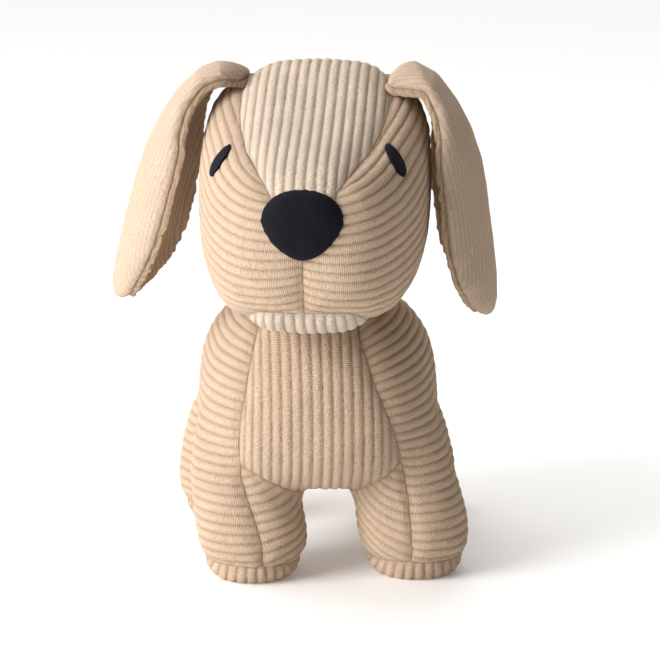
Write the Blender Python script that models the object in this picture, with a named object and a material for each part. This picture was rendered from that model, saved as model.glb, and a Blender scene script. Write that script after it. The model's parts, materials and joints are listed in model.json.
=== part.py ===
"""A standing plush dog in wide corduroy, as the separate pieces that it is sewn and stuffed from.

The dog faces -Y, its left side is +X, and it stands on the plane z = 0. Three closed forms give the
head, the torso with its legs, and the tail. Each form is cut along its seam lines into fabric panels of
one cloth thickness, and the same form, taken in by that thickness, is the stuffing inside. The head turns
and nods on a ball of stuffing in the neck, the ears hinge on their sewn roots, and the tail wags.

Lengths in this file are in millimetres until solid_object() turns them into metres.
"""

import math

import bmesh
import bpy
import numpy as np
from mathutils import Matrix, Vector

MM = 0.001

# Cloth and clearances
CLOTH = 2.4  # corduroy with its pile
GAP = 0.35  # between the stuffing and the cloth
SEAM_INSET = 0.4  # each panel's edge stops this far short of its seam line
SHARP_ANGLE = math.radians(50)  # edges sharper than this are shaded sharp
SEAM_SNAP = 0.7  # a vertex this close to a seam line counts as on it

# Neck: a ball joint of stuffing that the head turns and nods on
NECK_CENTRE = Vector((-6.7, 10.0, 95.0))
NECK_RADIUS = 58.6  # inside of the head's dish
HEAD_TURN = math.radians(-8.5)  # the head looks a little to the dog's right
PLUG_TOP = NECK_RADIUS - 0.6
PLUG_THICKNESS = 9.0
PLUG_STEPS = (3, 20)  # across the plug's faces and round it
OPEN_BELOW_Z = 175.0  # the head's dish lies below this
PLUG_ANGLE = math.radians(32)
NECK_OPENING_ANGLE = math.radians(36)

# Head: (y, lowest z, highest z, half width) of its cross-sections, from the nose to the nape
HEAD_ROWS = (
    (-97.5, 197, 203, 0),
    (-97.0, 186, 212, 12),
    (-94.5, 172, 219, 24),
    (-89.0, 155, 225, 34),
    (-80.0, 145, 229.5, 42),
    (-66.0, 141, 234, 49),
    (-46.0, 140.5, 240.5, 54.5),
    (-26.0, 141, 250, 57.5),
    (-8.0, 142.5, 259.5, 58.5),
    (10.0, 144, 265, 58),
    (26.0, 147, 264.5, 54.5),
    (39.0, 154, 257, 47),
    (48.0, 167, 246, 35),
    (52.5, 183, 230, 19),
    (53.5, 205, 211, 0),
)
HEAD_WAIST = 0.56  # share of a section's height at which it is widest
HEAD_SQUARENESS = (2.95, 2.9)  # above and below the waist
HEAD_RINGS = (24, 17)

# Trunk: (y, lowest z, highest z, half width, squareness above the waist), from the chest to the rump
TRUNK_ROWS = (
    (-50.0, 86, 92, 0, 2.3),
    (-49.5, 77, 101, 14, 2.3),
    (-46.5, 67, 112, 27, 2.3),
    (-40.0, 58, 124, 40, 2.3),
    (-29.0, 51, 137.5, 50, 2.3),
    (-12.0, 46.5, 148, 58, 2.3),
    (10.0, 44.5, 152, 62, 2.35),
    (34.0, 44, 148, 63, 2.7),
    (60.0, 44, 141, 60.5, 2.9),
    (90.0, 45, 134, 57.5, 2.7),
    (114.0, 50, 128, 53, 2.4),
    (132.0, 59, 119, 44, 2.3),
    (143.0, 73, 108, 30, 2.3),
    (147.5, 84, 97, 14, 2.3),
    (148.0, 88, 92, 0, 2.3),
)
TRUNK_WAIST = 0.34
TRUNK_SQUARENESS_BELOW = 2.5

# How the front of the trunk has settled over the feet: it leans and turns a little, as the head does
LEAN = -6.0
TWIST = math.radians(-12)
TWIST_AXIS_Y = 20.0
SETTLED_UP_TO_Y = 60.0
LEANS_UP_TO_Y = 130.0
LEAN_HEIGHTS = (15.0, 65.0)
TWIST_HEIGHTS = (40.0, 140.0)

# Legs: (z, outward shift of the centre, radius) of their cross-sections, from below the sole up
LEG_ROWS = (
    (-6.5, 0, 0),
    (-6.0, 0, 9),
    (-3.5, 0, 17.5),
    (0.0, 0, 22.5),
    (5.0, 0, 26.5),
    (12.0, 0, 29),
    (24.0, 0, 29.6),
    (42.0, -0.8, 28.8),
    (62.0, -2.8, 27),
    (82.0, -6.5, 24.5),
    (102.0, -13, 19),
    (110.0, -15, 0),
)
FRONT_LEG = Vector((42.0, -5.0))
REAR_LEG = Vector((47.5, 106.0))
FRONT_TAPER = 0.6  # how much of the shift in LEG_ROWS a leg has
REAR_TAPER = 2.2
LEG_SPLIT_Z = 40.0  # the wads of stuffing in the legs end here
BODY_SPLIT_Y = 50.0  # between the front legs and the rear ones

LEG_RINGS = (28, 22)  # points round a form, and rings along it
TRUNK_RINGS = (40, 34)
TORSO_VOXEL = 4.0
TORSO_SMOOTHING = 14
TORSO_DETAIL = 0.085  # share of the triangles that is kept
STUFFING_DETAIL = 0.05
STUFFING_EASE = 1.7  # further than the cloth goes in, because the stuffing is drawn more coarsely

# Seams of the torso
SOLE_SEAM_Z = 10.0
INNER_LEG_TOP = 84.0
SIDE_SEAM = ((0, 37), (30, 39), (62, 42.5), (82, 41), (110, 33), (140, 25))  # (z, x) at the front
WITHERS_Z = 90.0  # behind the neck and above this, the sides meet in the middle
REAR_SEAM_X = 47.0
REAR_SEAM_TOP = 76.0
REAR_SEAM_SPRING = 50.0
INNER_LEG_MARGIN = 3.0
BELLY_SEAM_Y = 26.0
SPINE_SEAM_Z = 60.0  # the two sides meet along the back above this

# Seams of the head, by the angle about its middle: 0 at the nose, 90 at the crown, -90 at the jaw
HEAD_MIDDLE = Vector((0.0, -12.0, 200.0))
CROWN_SEAM = ((4, 0), (9, 15), (16, 21), (35, 31.5), (62, 37), (90, 39), (120, 35), (160, 25), (215, 21), (250, 20))
CHIN_SEAM = ((-31, 22), (-35, 27), (-41, 31), (-60, 33), (-90, 33))
CHIN_SEAM_FRONT = -31.5
CROWN_SEAM_START = 4.0  # degrees, at the top of the nose
MM_PER_DEGREE = 1.6  # along the head's outline, at the chin

# Nose and eyes, embroidered on the face
NOSE_CENTRE = Vector((0.0, 0.0, 202.5))
NOSE_HALF_WIDTH = 19.8
NOSE_ABOVE = 15.5
NOSE_BELOW = 18.5
NOSE_HEIGHT = 1.6
MUZZLE_FRONT_Y = -80.0
MUZZLE_LOW_Z = 175.0
EYE_PLACE = Vector((44.5, -55.7, 224.5))
EYE_LENGTH = 15.5
EYE_WIDTH = 7.6
EYE_LEAN = math.radians(24)
EYE_HEIGHT = 0.9
EYE_CUTS = 3  # how finely the form is divided before an eye is cut from it

# Ears: path of the middle line from the sewn root, as (outwards, up), and the half width there
EAR_HINGE = Vector((43.5, 8.0, 260.5))
EAR_ROWS = (
    (0.0, 0.0, 17.5),
    (5.5, -1.2, 19),
    (11.5, -5.5, 21),
    (18.0, -14.0, 24),
    (25.5, -27.5, 27),
    (30.5, -41.0, 29.5),
    (33.5, -56.0, 31),
    (35.2, -72.0, 32),
    (36.8, -89.0, 31.5),
    (38.0, -102.0, 28.5),
    (38.4, -114.0, 21.5),
    (37.6, -120.5, 13),
    (36.4, -123.5, 5),
)
EAR_COLUMNS = (-1, -0.86, -0.45, 0, 0.45, 0.86, 1)  # shares of the half width, from front to back
EAR_CROSS_SECTIONS = 11
EAR_CLOTH = 2.2
EAR_FILL = 2.0  # half thickness of the padding in the middle of an ear
EAR_CUP = 11.0  # how far the ear's long edges turn in towards the head where it is widest
EAR_HALF_WIDTH = 32.0
EAR_SKEW = 4.5  # how much more the back edge does so than the front one
EAR_CUP_ROWS = 4  # the cup deepens over this many cross-sections from the root
EAR_LIFT = {"left": math.radians(2), "right": math.radians(9)}

# Tail
TAIL_ROOT = Vector((0.0, 143.5, 106.0))
TAIL_RADIUS = 14.0
TAIL_TIP_RADIUS = 9.0
TAIL_LENGTH = 56.0
TAIL_RISE = math.radians(38)
TAIL_CLEARANCE = 1.3
TAIL_RINGS = (12, 11)

# Care label, a folded tape in the seam under the tail
LABEL_SIZE = Vector((17.0, 1.0, 27.0))
LABEL_PLACE = Vector((0.0, 150.1, 67.0))
LABEL_TILT = math.radians(14)
LABEL_EDGE = 0.3

COLOURS = {
    "corduroy": ((0.64, 0.47, 0.31), 0.9),
    "crown_corduroy": ((0.74, 0.61, 0.47), 0.9),
    "ear_velour": ((0.70, 0.53, 0.38), 0.9),
    "stuffing": ((0.88, 0.88, 0.86), 1.0),
    "black_thread": ((0.012, 0.012, 0.02), 0.7),
    "label_tape": ((0.9, 0.9, 0.88), 0.5),
}


# ---------------------------------------------------------------- forms


def smooth_rows(rows, count):
    """Rows spaced evenly along a smooth curve through the given ones."""
    rows = np.array(rows, float)
    at = np.concatenate([[0], np.cumsum(np.linalg.norm(np.diff(rows, axis=0), axis=1))])
    slopes = np.gradient(rows, at, axis=0)
    wanted = np.linspace(0, at[-1], count)
    k = np.clip(np.searchsorted(at, wanted) - 1, 0, len(at) - 2)
    span = (at[k + 1] - at[k])[:, None]
    t = ((wanted - at[k])[:, None]) / span
    start, end = rows[k], rows[k + 1]
    leave, arrive = slopes[k] * span, slopes[k + 1] * span
    return (
        start * (2 * t**3 - 3 * t**2 + 1)
        + leave * (t**3 - 2 * t**2 + t)
        + end * (3 * t**2 - 2 * t**3)
        + arrive * (t**3 - t**2)
    )


def lofted_form(rows, around, along, ring_point):
    """A closed bmesh: a sphere whose rings are reshaped into the cross-sections that the rows give."""
    rows = smooth_rows(rows, along + 1)
    form = bmesh.new()
    bmesh.ops.create_uvsphere(form, u_segments=around, v_segments=along, radius=1)
    for vert in form.verts:
        polar = math.acos(max(-1.0, min(1.0, vert.co.z)))
        angle = math.atan2(vert.co.y, vert.co.x)
        vert.co = ring_point(rows[round(polar / math.pi * along)], angle)
    if form.calc_volume(signed=True) < 0:
        bmesh.ops.reverse_faces(form, faces=form.faces[:])
    return form


def superellipse(angle, power):
    """A point on a unit superellipse."""
    c, s = math.cos(angle), math.sin(angle)
    return math.copysign(abs(c) ** (2 / power), c), math.copysign(abs(s) ** (2 / power), s)


def section_point(row, angle, waist, above, below):
    """A point of a cross-section that lies across y."""
    y, low, high, half_width = row[:4]
    middle = low + waist * (high - low)
    across, up = superellipse(angle, above if math.sin(angle) > 0 else below)
    reach = (high - middle) if up > 0 else (middle - low)
    return Vector((max(half_width, 0.0) * across, y, middle + reach * up))


def head_form(around, along):
    """The head, straight ahead."""
    return lofted_form(
        HEAD_ROWS, around, along, lambda row, a: section_point(row, a, HEAD_WAIST, *HEAD_SQUARENESS)
    )


def ramp(low, high, at):
    """A smooth step from 0 at low to 1 at high."""
    share = max(0.0, min(1.0, (at - low) / (high - low)))
    return share * share * (3 - 2 * share)


def settle(form):
    """Leans and turns the front of a torso form that was drawn straight, which leaves the feet alone."""
    for vert in form.verts:
        x, y, z = vert.co
        share = ramp(-SETTLED_UP_TO_Y, 0.0, -y)
        height = (z - TWIST_HEIGHTS[0]) / (TWIST_HEIGHTS[1] - TWIST_HEIGHTS[0])
        angle = TWIST * share * max(0.0, min(1.0, height))
        lean = LEAN * ramp(-LEANS_UP_TO_Y, -SETTLED_UP_TO_Y, -y) * ramp(*LEAN_HEIGHTS, z)
        y -= TWIST_AXIS_Y
        vert.co.x = x * math.cos(angle) - y * math.sin(angle) + lean
        vert.co.y = x * math.sin(angle) + y * math.cos(angle) + TWIST_AXIS_Y


def leg_form(foot, taper, side):
    """One leg, standing on its sole and running up into the trunk."""

    def ring_point(row, angle):
        z, shift, radius = row
        x = side * (foot.x + taper * shift) + max(radius, 0.0) * math.cos(angle)
        return Vector((x, foot.y + max(radius, 0.0) * math.sin(angle), z))

    return lofted_form(LEG_ROWS, *LEG_RINGS, ring_point)


def torso_form(detail):
    """Trunk and legs as one closed surface with flat soles at z = 0."""
    joined = bpy.data.meshes.new("torso_form")
    whole = lofted_form(
        TRUNK_ROWS,
        *TRUNK_RINGS,
        lambda row, a: section_point(row, a, TRUNK_WAIST, row[4], TRUNK_SQUARENESS_BELOW),
    )
    for foot, taper in ((FRONT_LEG, FRONT_TAPER), (REAR_LEG, REAR_TAPER)):
        for side in (-1, 1):
            leg = leg_form(foot, taper, side)
            leg.to_mesh(joined)
            leg.free()
            whole.from_mesh(joined)
    whole.to_mesh(joined)
    whole.free()
    guide = bpy.data.objects.new("torso_form", joined)
    bpy.context.scene.collection.objects.link(guide)
    remesh = guide.modifiers.new("one_skin", "REMESH")
    remesh.mode = "VOXEL"
    remesh.voxel_size = TORSO_VOXEL
    soften = guide.modifiers.new("soften", "SMOOTH")
    soften.factor = 0.5
    soften.iterations = TORSO_SMOOTHING
    thin = guide.modifiers.new("thin", "DECIMATE")
    thin.ratio = detail
    bpy.context.view_layer.update()
    graph = bpy.context.evaluated_depsgraph_get()
    form = bmesh.new()
    form.from_object(guide, graph)
    bpy.data.objects.remove(guide)
    cut_flat(form, Vector((0, 0, 0)), Vector((0, 0, -1)))
    return form


def cut_flat(form, point, outwards):
    """Cuts off what lies beyond a plane and closes the cut."""
    geometry = form.verts[:] + form.edges[:] + form.faces[:]
    bmesh.ops.bisect_plane(form, geom=geometry, plane_co=point, plane_no=outwards, clear_outer=True)
    open_edges = [edge for edge in form.edges if edge.is_boundary]
    bmesh.ops.holes_fill(form, edges=open_edges, sides=0)
    bmesh.ops.triangulate(form, faces=[face for face in form.faces if len(face.verts) > 3])


def taken_in(form, depth):
    """The same form, smaller by depth all over."""
    inner = form.copy()
    inner.normal_update()
    moves = [vert.normal * depth for vert in inner.verts]
    for vert, move in zip(inner.verts, moves):
        vert.co -= move
    return inner


# ---------------------------------------------------------------- seams and panels


def crossing(field, start, end):
    """How far along a straight line a field changes sign, found by halving."""
    low, high = 0.0, 1.0
    start_sign = field(start) > 0
    for _ in range(10):
        middle = (low + high) / 2
        if (field(start.lerp(end, middle)) > 0) == start_sign:
            low = middle
        else:
            high = middle
    return (low + high) / 2


def cut_along(form, field, among=lambda point: True):
    """Cuts the faces of a form along the line where a field, a function of a point, is zero."""
    bmesh.ops.triangulate(form, faces=[face for face in form.faces if len(face.verts) > 3])
    value = {}
    for vert in form.verts:
        found = field(vert.co)
        value[vert] = 0.0 if abs(found) < SEAM_SNAP else found
    on_line = {vert for vert, found in value.items() if found == 0.0}
    for edge in form.edges[:]:
        first, second = edge.verts
        if value[first] * value[second] < 0 and among((first.co + second.co) / 2):
            share = crossing(field, first.co, second.co)
            _, added = bmesh.utils.edge_split(edge, first, share)
            value[added] = 0.0
            on_line.add(added)
    for face in form.faces[:]:
        ends = [vert for vert in face.verts if vert in on_line]
        if len(ends) == 2 and len(face.verts) > 3 and not form.edges.get(ends):
            bmesh.utils.face_split(face, ends[0], ends[1])
    bmesh.ops.triangulate(form, faces=[face for face in form.faces if len(face.verts) > 3])


def keep_normals(form):
    """Stores the form's own normals, so that panels cut from it meet face to face."""
    form.normal_update()
    layer = form.verts.layers.float_vector.new("outwards")
    for vert in form.verts:
        vert[layer] = vert.normal


def patches(piece):
    """The faces of a mesh in groups that hang together by their edges, the largest first."""
    groups = []
    left = set(piece.faces)
    while left:
        group = set()
        front = [left.pop()]
        while front:
            face = front.pop()
            group.add(face)
            near = {other for edge in face.edges for other in edge.link_faces if other in left}
            left -= near
            front += near
        groups.append(group)
    return sorted(groups, key=len, reverse=True)


def panel(form, name, name_of, depth=CLOTH, lift=0.0):
    """The faces that name_of gives this name, as a closed solid of even thickness."""
    piece = form.copy()
    others = [face for face in piece.faces if name_of(face.calc_center_median()) != name]
    bmesh.ops.delete(piece, geom=others, context="FACES")
    for stray in patches(piece)[1:]:
        bmesh.ops.delete(piece, geom=list(stray), context="FACES")
    for vert in piece.verts[:]:
        rim = [edge for edge in vert.link_edges if edge.is_boundary]
        if len(rim) > 2:
            bmesh.utils.vert_separate(vert, rim)
    layer = piece.verts.layers.float_vector["outwards"]
    inset = {}
    for edge in (edge for edge in piece.edges if edge.is_boundary):
        first, second = edge.verts
        along = (second.co - first.co).normalized()
        offset = edge.link_faces[0].calc_center_median() - first.co
        inwards = (offset - along * offset.dot(along)).normalized()
        for vert in edge.verts:
            inset[vert] = inset.get(vert, Vector()) + inwards
    for vert, inwards in inset.items():
        vert.co += inwards.normalized() * SEAM_INSET
    for vert in piece.verts:
        vert.co += vert[layer] * lift
    made = bmesh.ops.extrude_face_region(piece, geom=piece.faces[:], use_keep_orig=True)
    for vert in (item for item in made["geom"] if isinstance(item, bmesh.types.BMVert)):
        vert.co -= vert[layer] * depth
    bmesh.ops.recalc_face_normals(piece, faces=piece.faces[:])
    return piece


def from_table(table, at):
    """A value read between the rows of a short (position, value) table."""
    positions, values = zip(*sorted(table))
    return float(np.interp(at, positions, values))


# ---------------------------------------------------------------- objects


def material(name):
    """The part's material of that name, made once."""
    found = bpy.data.materials.get(name)
    if found:
        return found
    colour, roughness = COLOURS[name]
    made = bpy.data.materials.new(name)
    made.use_nodes = True
    shader = made.node_tree.nodes["Principled BSDF"]
    shader.inputs["Base Color"].default_value = (*colour, 1)
    shader.inputs["Roughness"].default_value = roughness
    shader.inputs["Metallic"].default_value = 0.0
    return made


def pivot(name, place, parent=None, turn=(0, 0, 0)):
    """An empty on a joint's axis. The place is in the parent's frame, in millimetres."""
    empty = bpy.data.objects.new(name, None)
    bpy.context.scene.collection.objects.link(empty)
    empty.parent = parent
    empty.location = place * MM
    empty.rotation_euler = turn
    return empty


def solid_object(name, form, material_name, parent, origin=Vector()):
    """A named object from a bmesh in millimetres, whose own origin is the parent's."""
    for vert in form.verts:
        vert.co = (vert.co - origin) * MM
    bmesh.ops.triangulate(form, faces=[face for face in form.faces if len(face.verts) > 3])
    bmesh.ops.recalc_face_normals(form, faces=form.faces[:])
    mesh = bpy.data.meshes.new(name)
    form.to_mesh(mesh)
    form.free()
    mesh.shade_smooth()
    mesh.set_sharp_from_angle(angle=SHARP_ANGLE)
    mesh.materials.append(material(material_name))
    obj = bpy.data.objects.new(name, mesh)
    bpy.context.scene.collection.objects.link(obj)
    obj.parent = parent
    return obj


def cut_away(obj, cutter):
    """Takes a hidden cutter out of an object."""
    cutter.hide_render = True
    cutter.display_type = "WIRE"
    hollow = obj.modifiers.new("cut_" + cutter.name, "BOOLEAN")
    hollow.operation = "DIFFERENCE"
    hollow.solver = "EXACT"
    hollow.object = cutter


def ball(radius, centre):
    """A fine icosphere."""
    form = bmesh.new()
    bmesh.ops.create_icosphere(form, subdivisions=4, radius=radius)
    bmesh.ops.translate(form, verts=form.verts[:], vec=centre)
    return form


# ---------------------------------------------------------------- head


def head_angle(point):
    """Degrees about the head's middle in side view: 0 at the nose, 90 at the crown, 180 at the nape."""
    y, z = point.y - HEAD_MIDDLE.y, point.z - HEAD_MIDDLE.z
    angle = math.degrees(math.atan2(z, -y))
    return angle + 360 if angle < -110 else angle


def crown_field(point):
    """Negative on the strip that runs from the nose over the crown to the nape."""
    return abs(point.x) - from_table(CROWN_SEAM, head_angle(point))


def chin_field(point):
    """Negative on the piece under the jaw."""
    angle = head_angle(point)
    return max(abs(point.x) - from_table(CHIN_SEAM, angle), (angle - CHIN_SEAM_FRONT) * MM_PER_DEGREE)


def neck_field(point):
    """Negative inside the ball that the head sits on."""
    centre = Vector((0, NECK_CENTRE.y, NECK_CENTRE.z))
    return (point - centre).length - NECK_RADIUS


def head_panel_name(point):
    """Which panel of the head a point of its surface is on."""
    if neck_field(point) < 0:
        return "neck_opening"
    angle = head_angle(point)
    if angle > CROWN_SEAM_START and crown_field(point) < 0:
        return "crown_gusset"
    if chin_field(point) < 0:
        return "chin_gusset"
    return "head_side_left" if point.x > 0 else "head_side_right"


def nose_field(point):
    """Negative inside the nose's outline: a broad oval that comes to a soft point below."""
    up = point.z - NOSE_CENTRE.z
    across = abs(point.x) / NOSE_HALF_WIDTH
    if up > 0:
        return (math.hypot(across, up / NOSE_ABOVE) - 1) * NOSE_ABOVE
    return (across**1.75 + (-up / NOSE_BELOW) ** 1.35 - 1) * NOSE_BELOW / 2


def eye_field(point):
    """Negative inside either eye's outline, an oval that leans towards the crown."""
    along = Vector((-math.sin(EYE_LEAN), 0, math.cos(EYE_LEAN)))
    offset = Vector((abs(point.x), point.y, point.z)) - EYE_PLACE
    length_wise = offset.dot(along)
    across = offset - along * length_wise
    return (math.hypot(length_wise / (EYE_LENGTH / 2), across.length / (EYE_WIDTH / 2)) - 1) * EYE_WIDTH / 2


def on_nose(point):
    """Whether a point is at the front of the muzzle."""
    return point.y < MUZZLE_FRONT_Y and point.z > MUZZLE_LOW_Z


def on_eye(point):
    """Whether a point is on the cheek about an eye."""
    return (Vector((abs(point.x), point.y, point.z)) - EYE_PLACE).length < EYE_LENGTH


def build_head(head):
    """Four panels, the stuffing, the nose and the eyes."""
    origin = Vector((0, NECK_CENTRE.y, NECK_CENTRE.z))
    form = head_form(*HEAD_RINGS)
    stuffing = solid_object("head_stuffing", taken_in(form, CLOTH + GAP), "stuffing", head, origin)
    dish = solid_object("head_dish", ball(NECK_RADIUS, origin), "stuffing", head, origin)
    cut_away(stuffing, dish)
    cut_along(form, neck_field, lambda p: p.z < OPEN_BELOW_Z)
    cut_along(form, crown_field, lambda p: head_angle(p) > CROWN_SEAM_START)
    cut_along(form, chin_field, lambda p: head_angle(p) < -20)
    cut_along(form, lambda p: p.x, lambda p: -45 < head_angle(p) < 12 or neck_field(p) < 6)
    keep_normals(form)
    for name in ("crown_gusset", "head_side_left", "head_side_right", "chin_gusset"):
        cloth = "crown_corduroy" if name == "crown_gusset" else "corduroy"
        solid_object(name, panel(form, name, head_panel_name), cloth, head, origin)
    form.free()
    build_face(head, origin)


def build_face(head, origin):
    """The embroidered nose and eyes, which lie on the panels and follow their curve."""
    form = head_form(*HEAD_RINGS)
    edges = [edge for edge in form.edges if on_eye((edge.verts[0].co + edge.verts[1].co) / 2)]
    bmesh.ops.subdivide_edges(form, edges=edges, cuts=EYE_CUTS, use_grid_fill=True)
    cut_along(form, nose_field, on_nose)
    cut_along(form, eye_field, on_eye)
    keep_normals(form)

    def name_of(point):
        if on_nose(point) and nose_field(point) < 0:
            return "nose"
        if on_eye(point) and eye_field(point) < 0:
            return "eye_left" if point.x > 0 else "eye_right"
        return ""

    for name, height in (("nose", NOSE_HEIGHT), ("eye_left", EYE_HEIGHT), ("eye_right", EYE_HEIGHT)):
        patch = panel(form, name, name_of, depth=height, lift=height + GAP)
        solid_object(name, patch, "black_thread", head, origin)
    form.free()


# ---------------------------------------------------------------- ears


def ear_sheet(side, low, high, columns, length):
    """A closed solid between two offsets from the ear's middle surface.

    The offsets are functions of how far across the ear a point is, from -1 to 1. The length is how many
    of the ear's cross-sections the solid covers, from the root.
    """
    rows = smooth_rows(EAR_ROWS, EAR_CROSS_SECTIONS)
    sheet = bmesh.new()
    bmesh.ops.create_grid(sheet, x_segments=len(columns) - 1, y_segments=length - 1, size=1)
    normals, shares = {}, {}
    for vert in sheet.verts:
        across = columns[round((vert.co.x + 1) / 2 * (len(columns) - 1))]
        k = round((vert.co.y + 1) / 2 * (length - 1))
        out, up, half_width = rows[k]
        step = rows[min(k + 1, len(rows) - 1)] - rows[max(k - 1, 0)]
        normal = Vector((-step[1], 0, step[0])).normalized()
        depth = min(1.0, k / EAR_CUP_ROWS) * half_width / EAR_HALF_WIDTH
        cup = across * (EAR_CUP * across + EAR_SKEW) * depth
        vert.co = Vector((out, across * half_width, up)) - normal * cup
        normals[vert], shares[vert] = normal, across
    pairs = bmesh.ops.extrude_face_region(sheet, geom=sheet.faces[:], use_keep_orig=True)["geom"]
    sources = {tuple(vert.co): vert for vert in normals}
    for vert in [item for item in pairs if isinstance(item, bmesh.types.BMVert)]:
        source = sources[tuple(vert.co)]
        vert.co += normals[source] * high(shares[source])
    for vert, normal in normals.items():
        vert.co += normal * low(shares[vert])
    if side < 0:
        bmesh.ops.scale(sheet, vec=(-1, 1, 1), verts=sheet.verts[:])
    return sheet


def ear_fill(across):
    """Half thickness of the padding at a share of the ear's half width."""
    return 0.25 + EAR_FILL * (1 - across * across)


def build_ear(name, side, head):
    """Outer panel, inner panel and the padding between them, on a hinge at the sewn root."""
    place = Vector((side * EAR_HINGE.x, EAR_HINGE.y - NECK_CENTRE.y, EAR_HINGE.z - NECK_CENTRE.z))
    hinge = pivot(f"ear_{name}_hinge", place, head, (0, -side * EAR_LIFT[name], 0))
    whole, inside = (EAR_COLUMNS, EAR_CROSS_SECTIONS), (EAR_COLUMNS[1:-1], EAR_CROSS_SECTIONS - 1)
    outer = ear_sheet(side, ear_fill, lambda s: ear_fill(s) + EAR_CLOTH, *whole)
    inner = ear_sheet(side, lambda s: -ear_fill(s) - EAR_CLOTH, lambda s: -ear_fill(s), *whole)
    filling = ear_sheet(side, lambda s: GAP - ear_fill(s), lambda s: ear_fill(s) - GAP, *inside)
    solid_object(f"ear_{name}_outer", outer, "ear_velour", hinge)
    solid_object(f"ear_{name}_inner", inner, "corduroy", hinge)
    solid_object(f"ear_{name}_padding", filling, "stuffing", hinge)


# ---------------------------------------------------------------- torso


def side_seam_x(point):
    """How far from the middle the seam between the sides and the underneath runs at a point."""
    if point.y < BODY_SPLIT_Y:
        at_withers = point.z > WITHERS_Z and point.y > 0
        return 0.0 if at_withers else from_table(SIDE_SEAM, point.z)
    if point.z < REAR_SEAM_SPRING:
        return REAR_SEAM_X
    rise = min(1.0, (point.z - REAR_SEAM_SPRING) / (REAR_SEAM_TOP - REAR_SEAM_SPRING))
    return REAR_SEAM_X * math.sqrt(1 - rise * rise)


def side_field(point):
    """Positive on the two side panels."""
    return abs(point.x) - side_seam_x(point)


def leg_field(point):
    """Negative on the inside of the leg nearest to a point."""
    at_front = point.y < BODY_SPLIT_Y
    foot = FRONT_LEG if at_front else REAR_LEG
    _, shifts, radii = zip(*LEG_ROWS)
    heights = [row[0] for row in LEG_ROWS]
    shift = float(np.interp(point.z, heights, shifts)) * (FRONT_TAPER if at_front else REAR_TAPER)
    radius = float(np.interp(point.z, heights, radii))
    x = abs(point.x) - foot.x - shift
    return math.hypot(x, point.y - foot.y) - radius - INNER_LEG_MARGIN


def neck_opening_field(point):
    """Negative inside the cone where the torso is open to the neck."""
    offset = point - Vector((0, NECK_CENTRE.y, NECK_CENTRE.z))
    if offset.z <= 0:
        return 100.0
    return (math.atan2(math.hypot(offset.x, offset.y), offset.z) - NECK_OPENING_ANGLE) * offset.length


def tail_field(point):
    """Negative inside the dish that the tail's root sits in."""
    return (point - TAIL_ROOT).length - TAIL_RADIUS - TAIL_CLEARANCE


def torso_panel_name(point):
    """Which panel of the torso a point of its surface is on."""
    side = "left" if point.x > 0 else "right"
    end = "front" if point.y < BODY_SPLIT_Y else "rear"
    if neck_opening_field(point) < 0 or tail_field(point) < 0:
        return "opening"
    if point.z < SOLE_SEAM_Z:
        return f"sole_{end}_{side}"
    if side_field(point) > 0:
        return f"body_side_{side}"
    if point.z < INNER_LEG_TOP and leg_field(point) < 0:
        return f"inner_leg_{end}_{side}"
    return "chest_gusset" if point.y < BELLY_SEAM_Y else "belly_gusset"


TORSO_PANELS = ["body_side_left", "body_side_right", "chest_gusset", "belly_gusset"] + [
    f"{kind}_{end}_{side}"
    for kind in ("inner_leg", "sole")
    for end in ("front", "rear")
    for side in ("left", "right")
]


def build_torso(dog):
    """The twelve panels of the torso and its legs."""
    form = torso_form(TORSO_DETAIL)
    cut_along(form, neck_opening_field)
    cut_along(form, tail_field)
    cut_along(form, lambda p: p.z - SOLE_SEAM_Z)
    cut_along(form, side_field, lambda p: p.z > SOLE_SEAM_Z)
    cut_along(form, leg_field, lambda p: SOLE_SEAM_Z < p.z < INNER_LEG_TOP + 2 and side_field(p) < 1)
    cut_along(form, lambda p: p.y - BELLY_SEAM_Y, lambda p: side_field(p) < 1 and p.z < SPINE_SEAM_Z)
    cut_along(form, lambda p: p.x, lambda p: p.z > SPINE_SEAM_Z and p.y > 0)
    keep_normals(form)
    for name in TORSO_PANELS:
        piece = panel(form, name, torso_panel_name)
        settle(piece)
        solid_object(name, piece, "corduroy", dog)
    form.free()


def build_torso_stuffing(dog):
    """The wad in the trunk and one in each leg, and the label."""
    form = taken_in(torso_form(STUFFING_DETAIL), CLOTH + STUFFING_EASE)
    trunk = form.copy()
    cut_flat(trunk, Vector((0, 0, LEG_SPLIT_Z + GAP)), Vector((0, 0, -1)))
    settle(trunk)
    trunk = solid_object("torso_stuffing", trunk, "stuffing", dog)
    cut_away(trunk, solid_object("tail_dish", ball(TAIL_RADIUS + TAIL_CLEARANCE, TAIL_ROOT), "stuffing", dog))
    cut_away(trunk, neck_wad("neck_socket", dog, GAP, PLUG_TOP + 10))
    cut_flat(form, Vector((0, 0, LEG_SPLIT_Z)), Vector((0, 0, 1)))
    for end, y_side in (("front", -1), ("rear", 1)):
        for side, x_side in (("right", -1), ("left", 1)):
            leg = form.copy()
            cut_flat(leg, Vector((0, 0, 0)), Vector((-x_side, 0, 0)))
            cut_flat(leg, Vector((0, BODY_SPLIT_Y, 0)), Vector((0, -y_side, 0)))
            settle(leg)
            solid_object(f"leg_stuffing_{end}_{side}", leg, "stuffing", dog)
    form.free()


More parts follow.
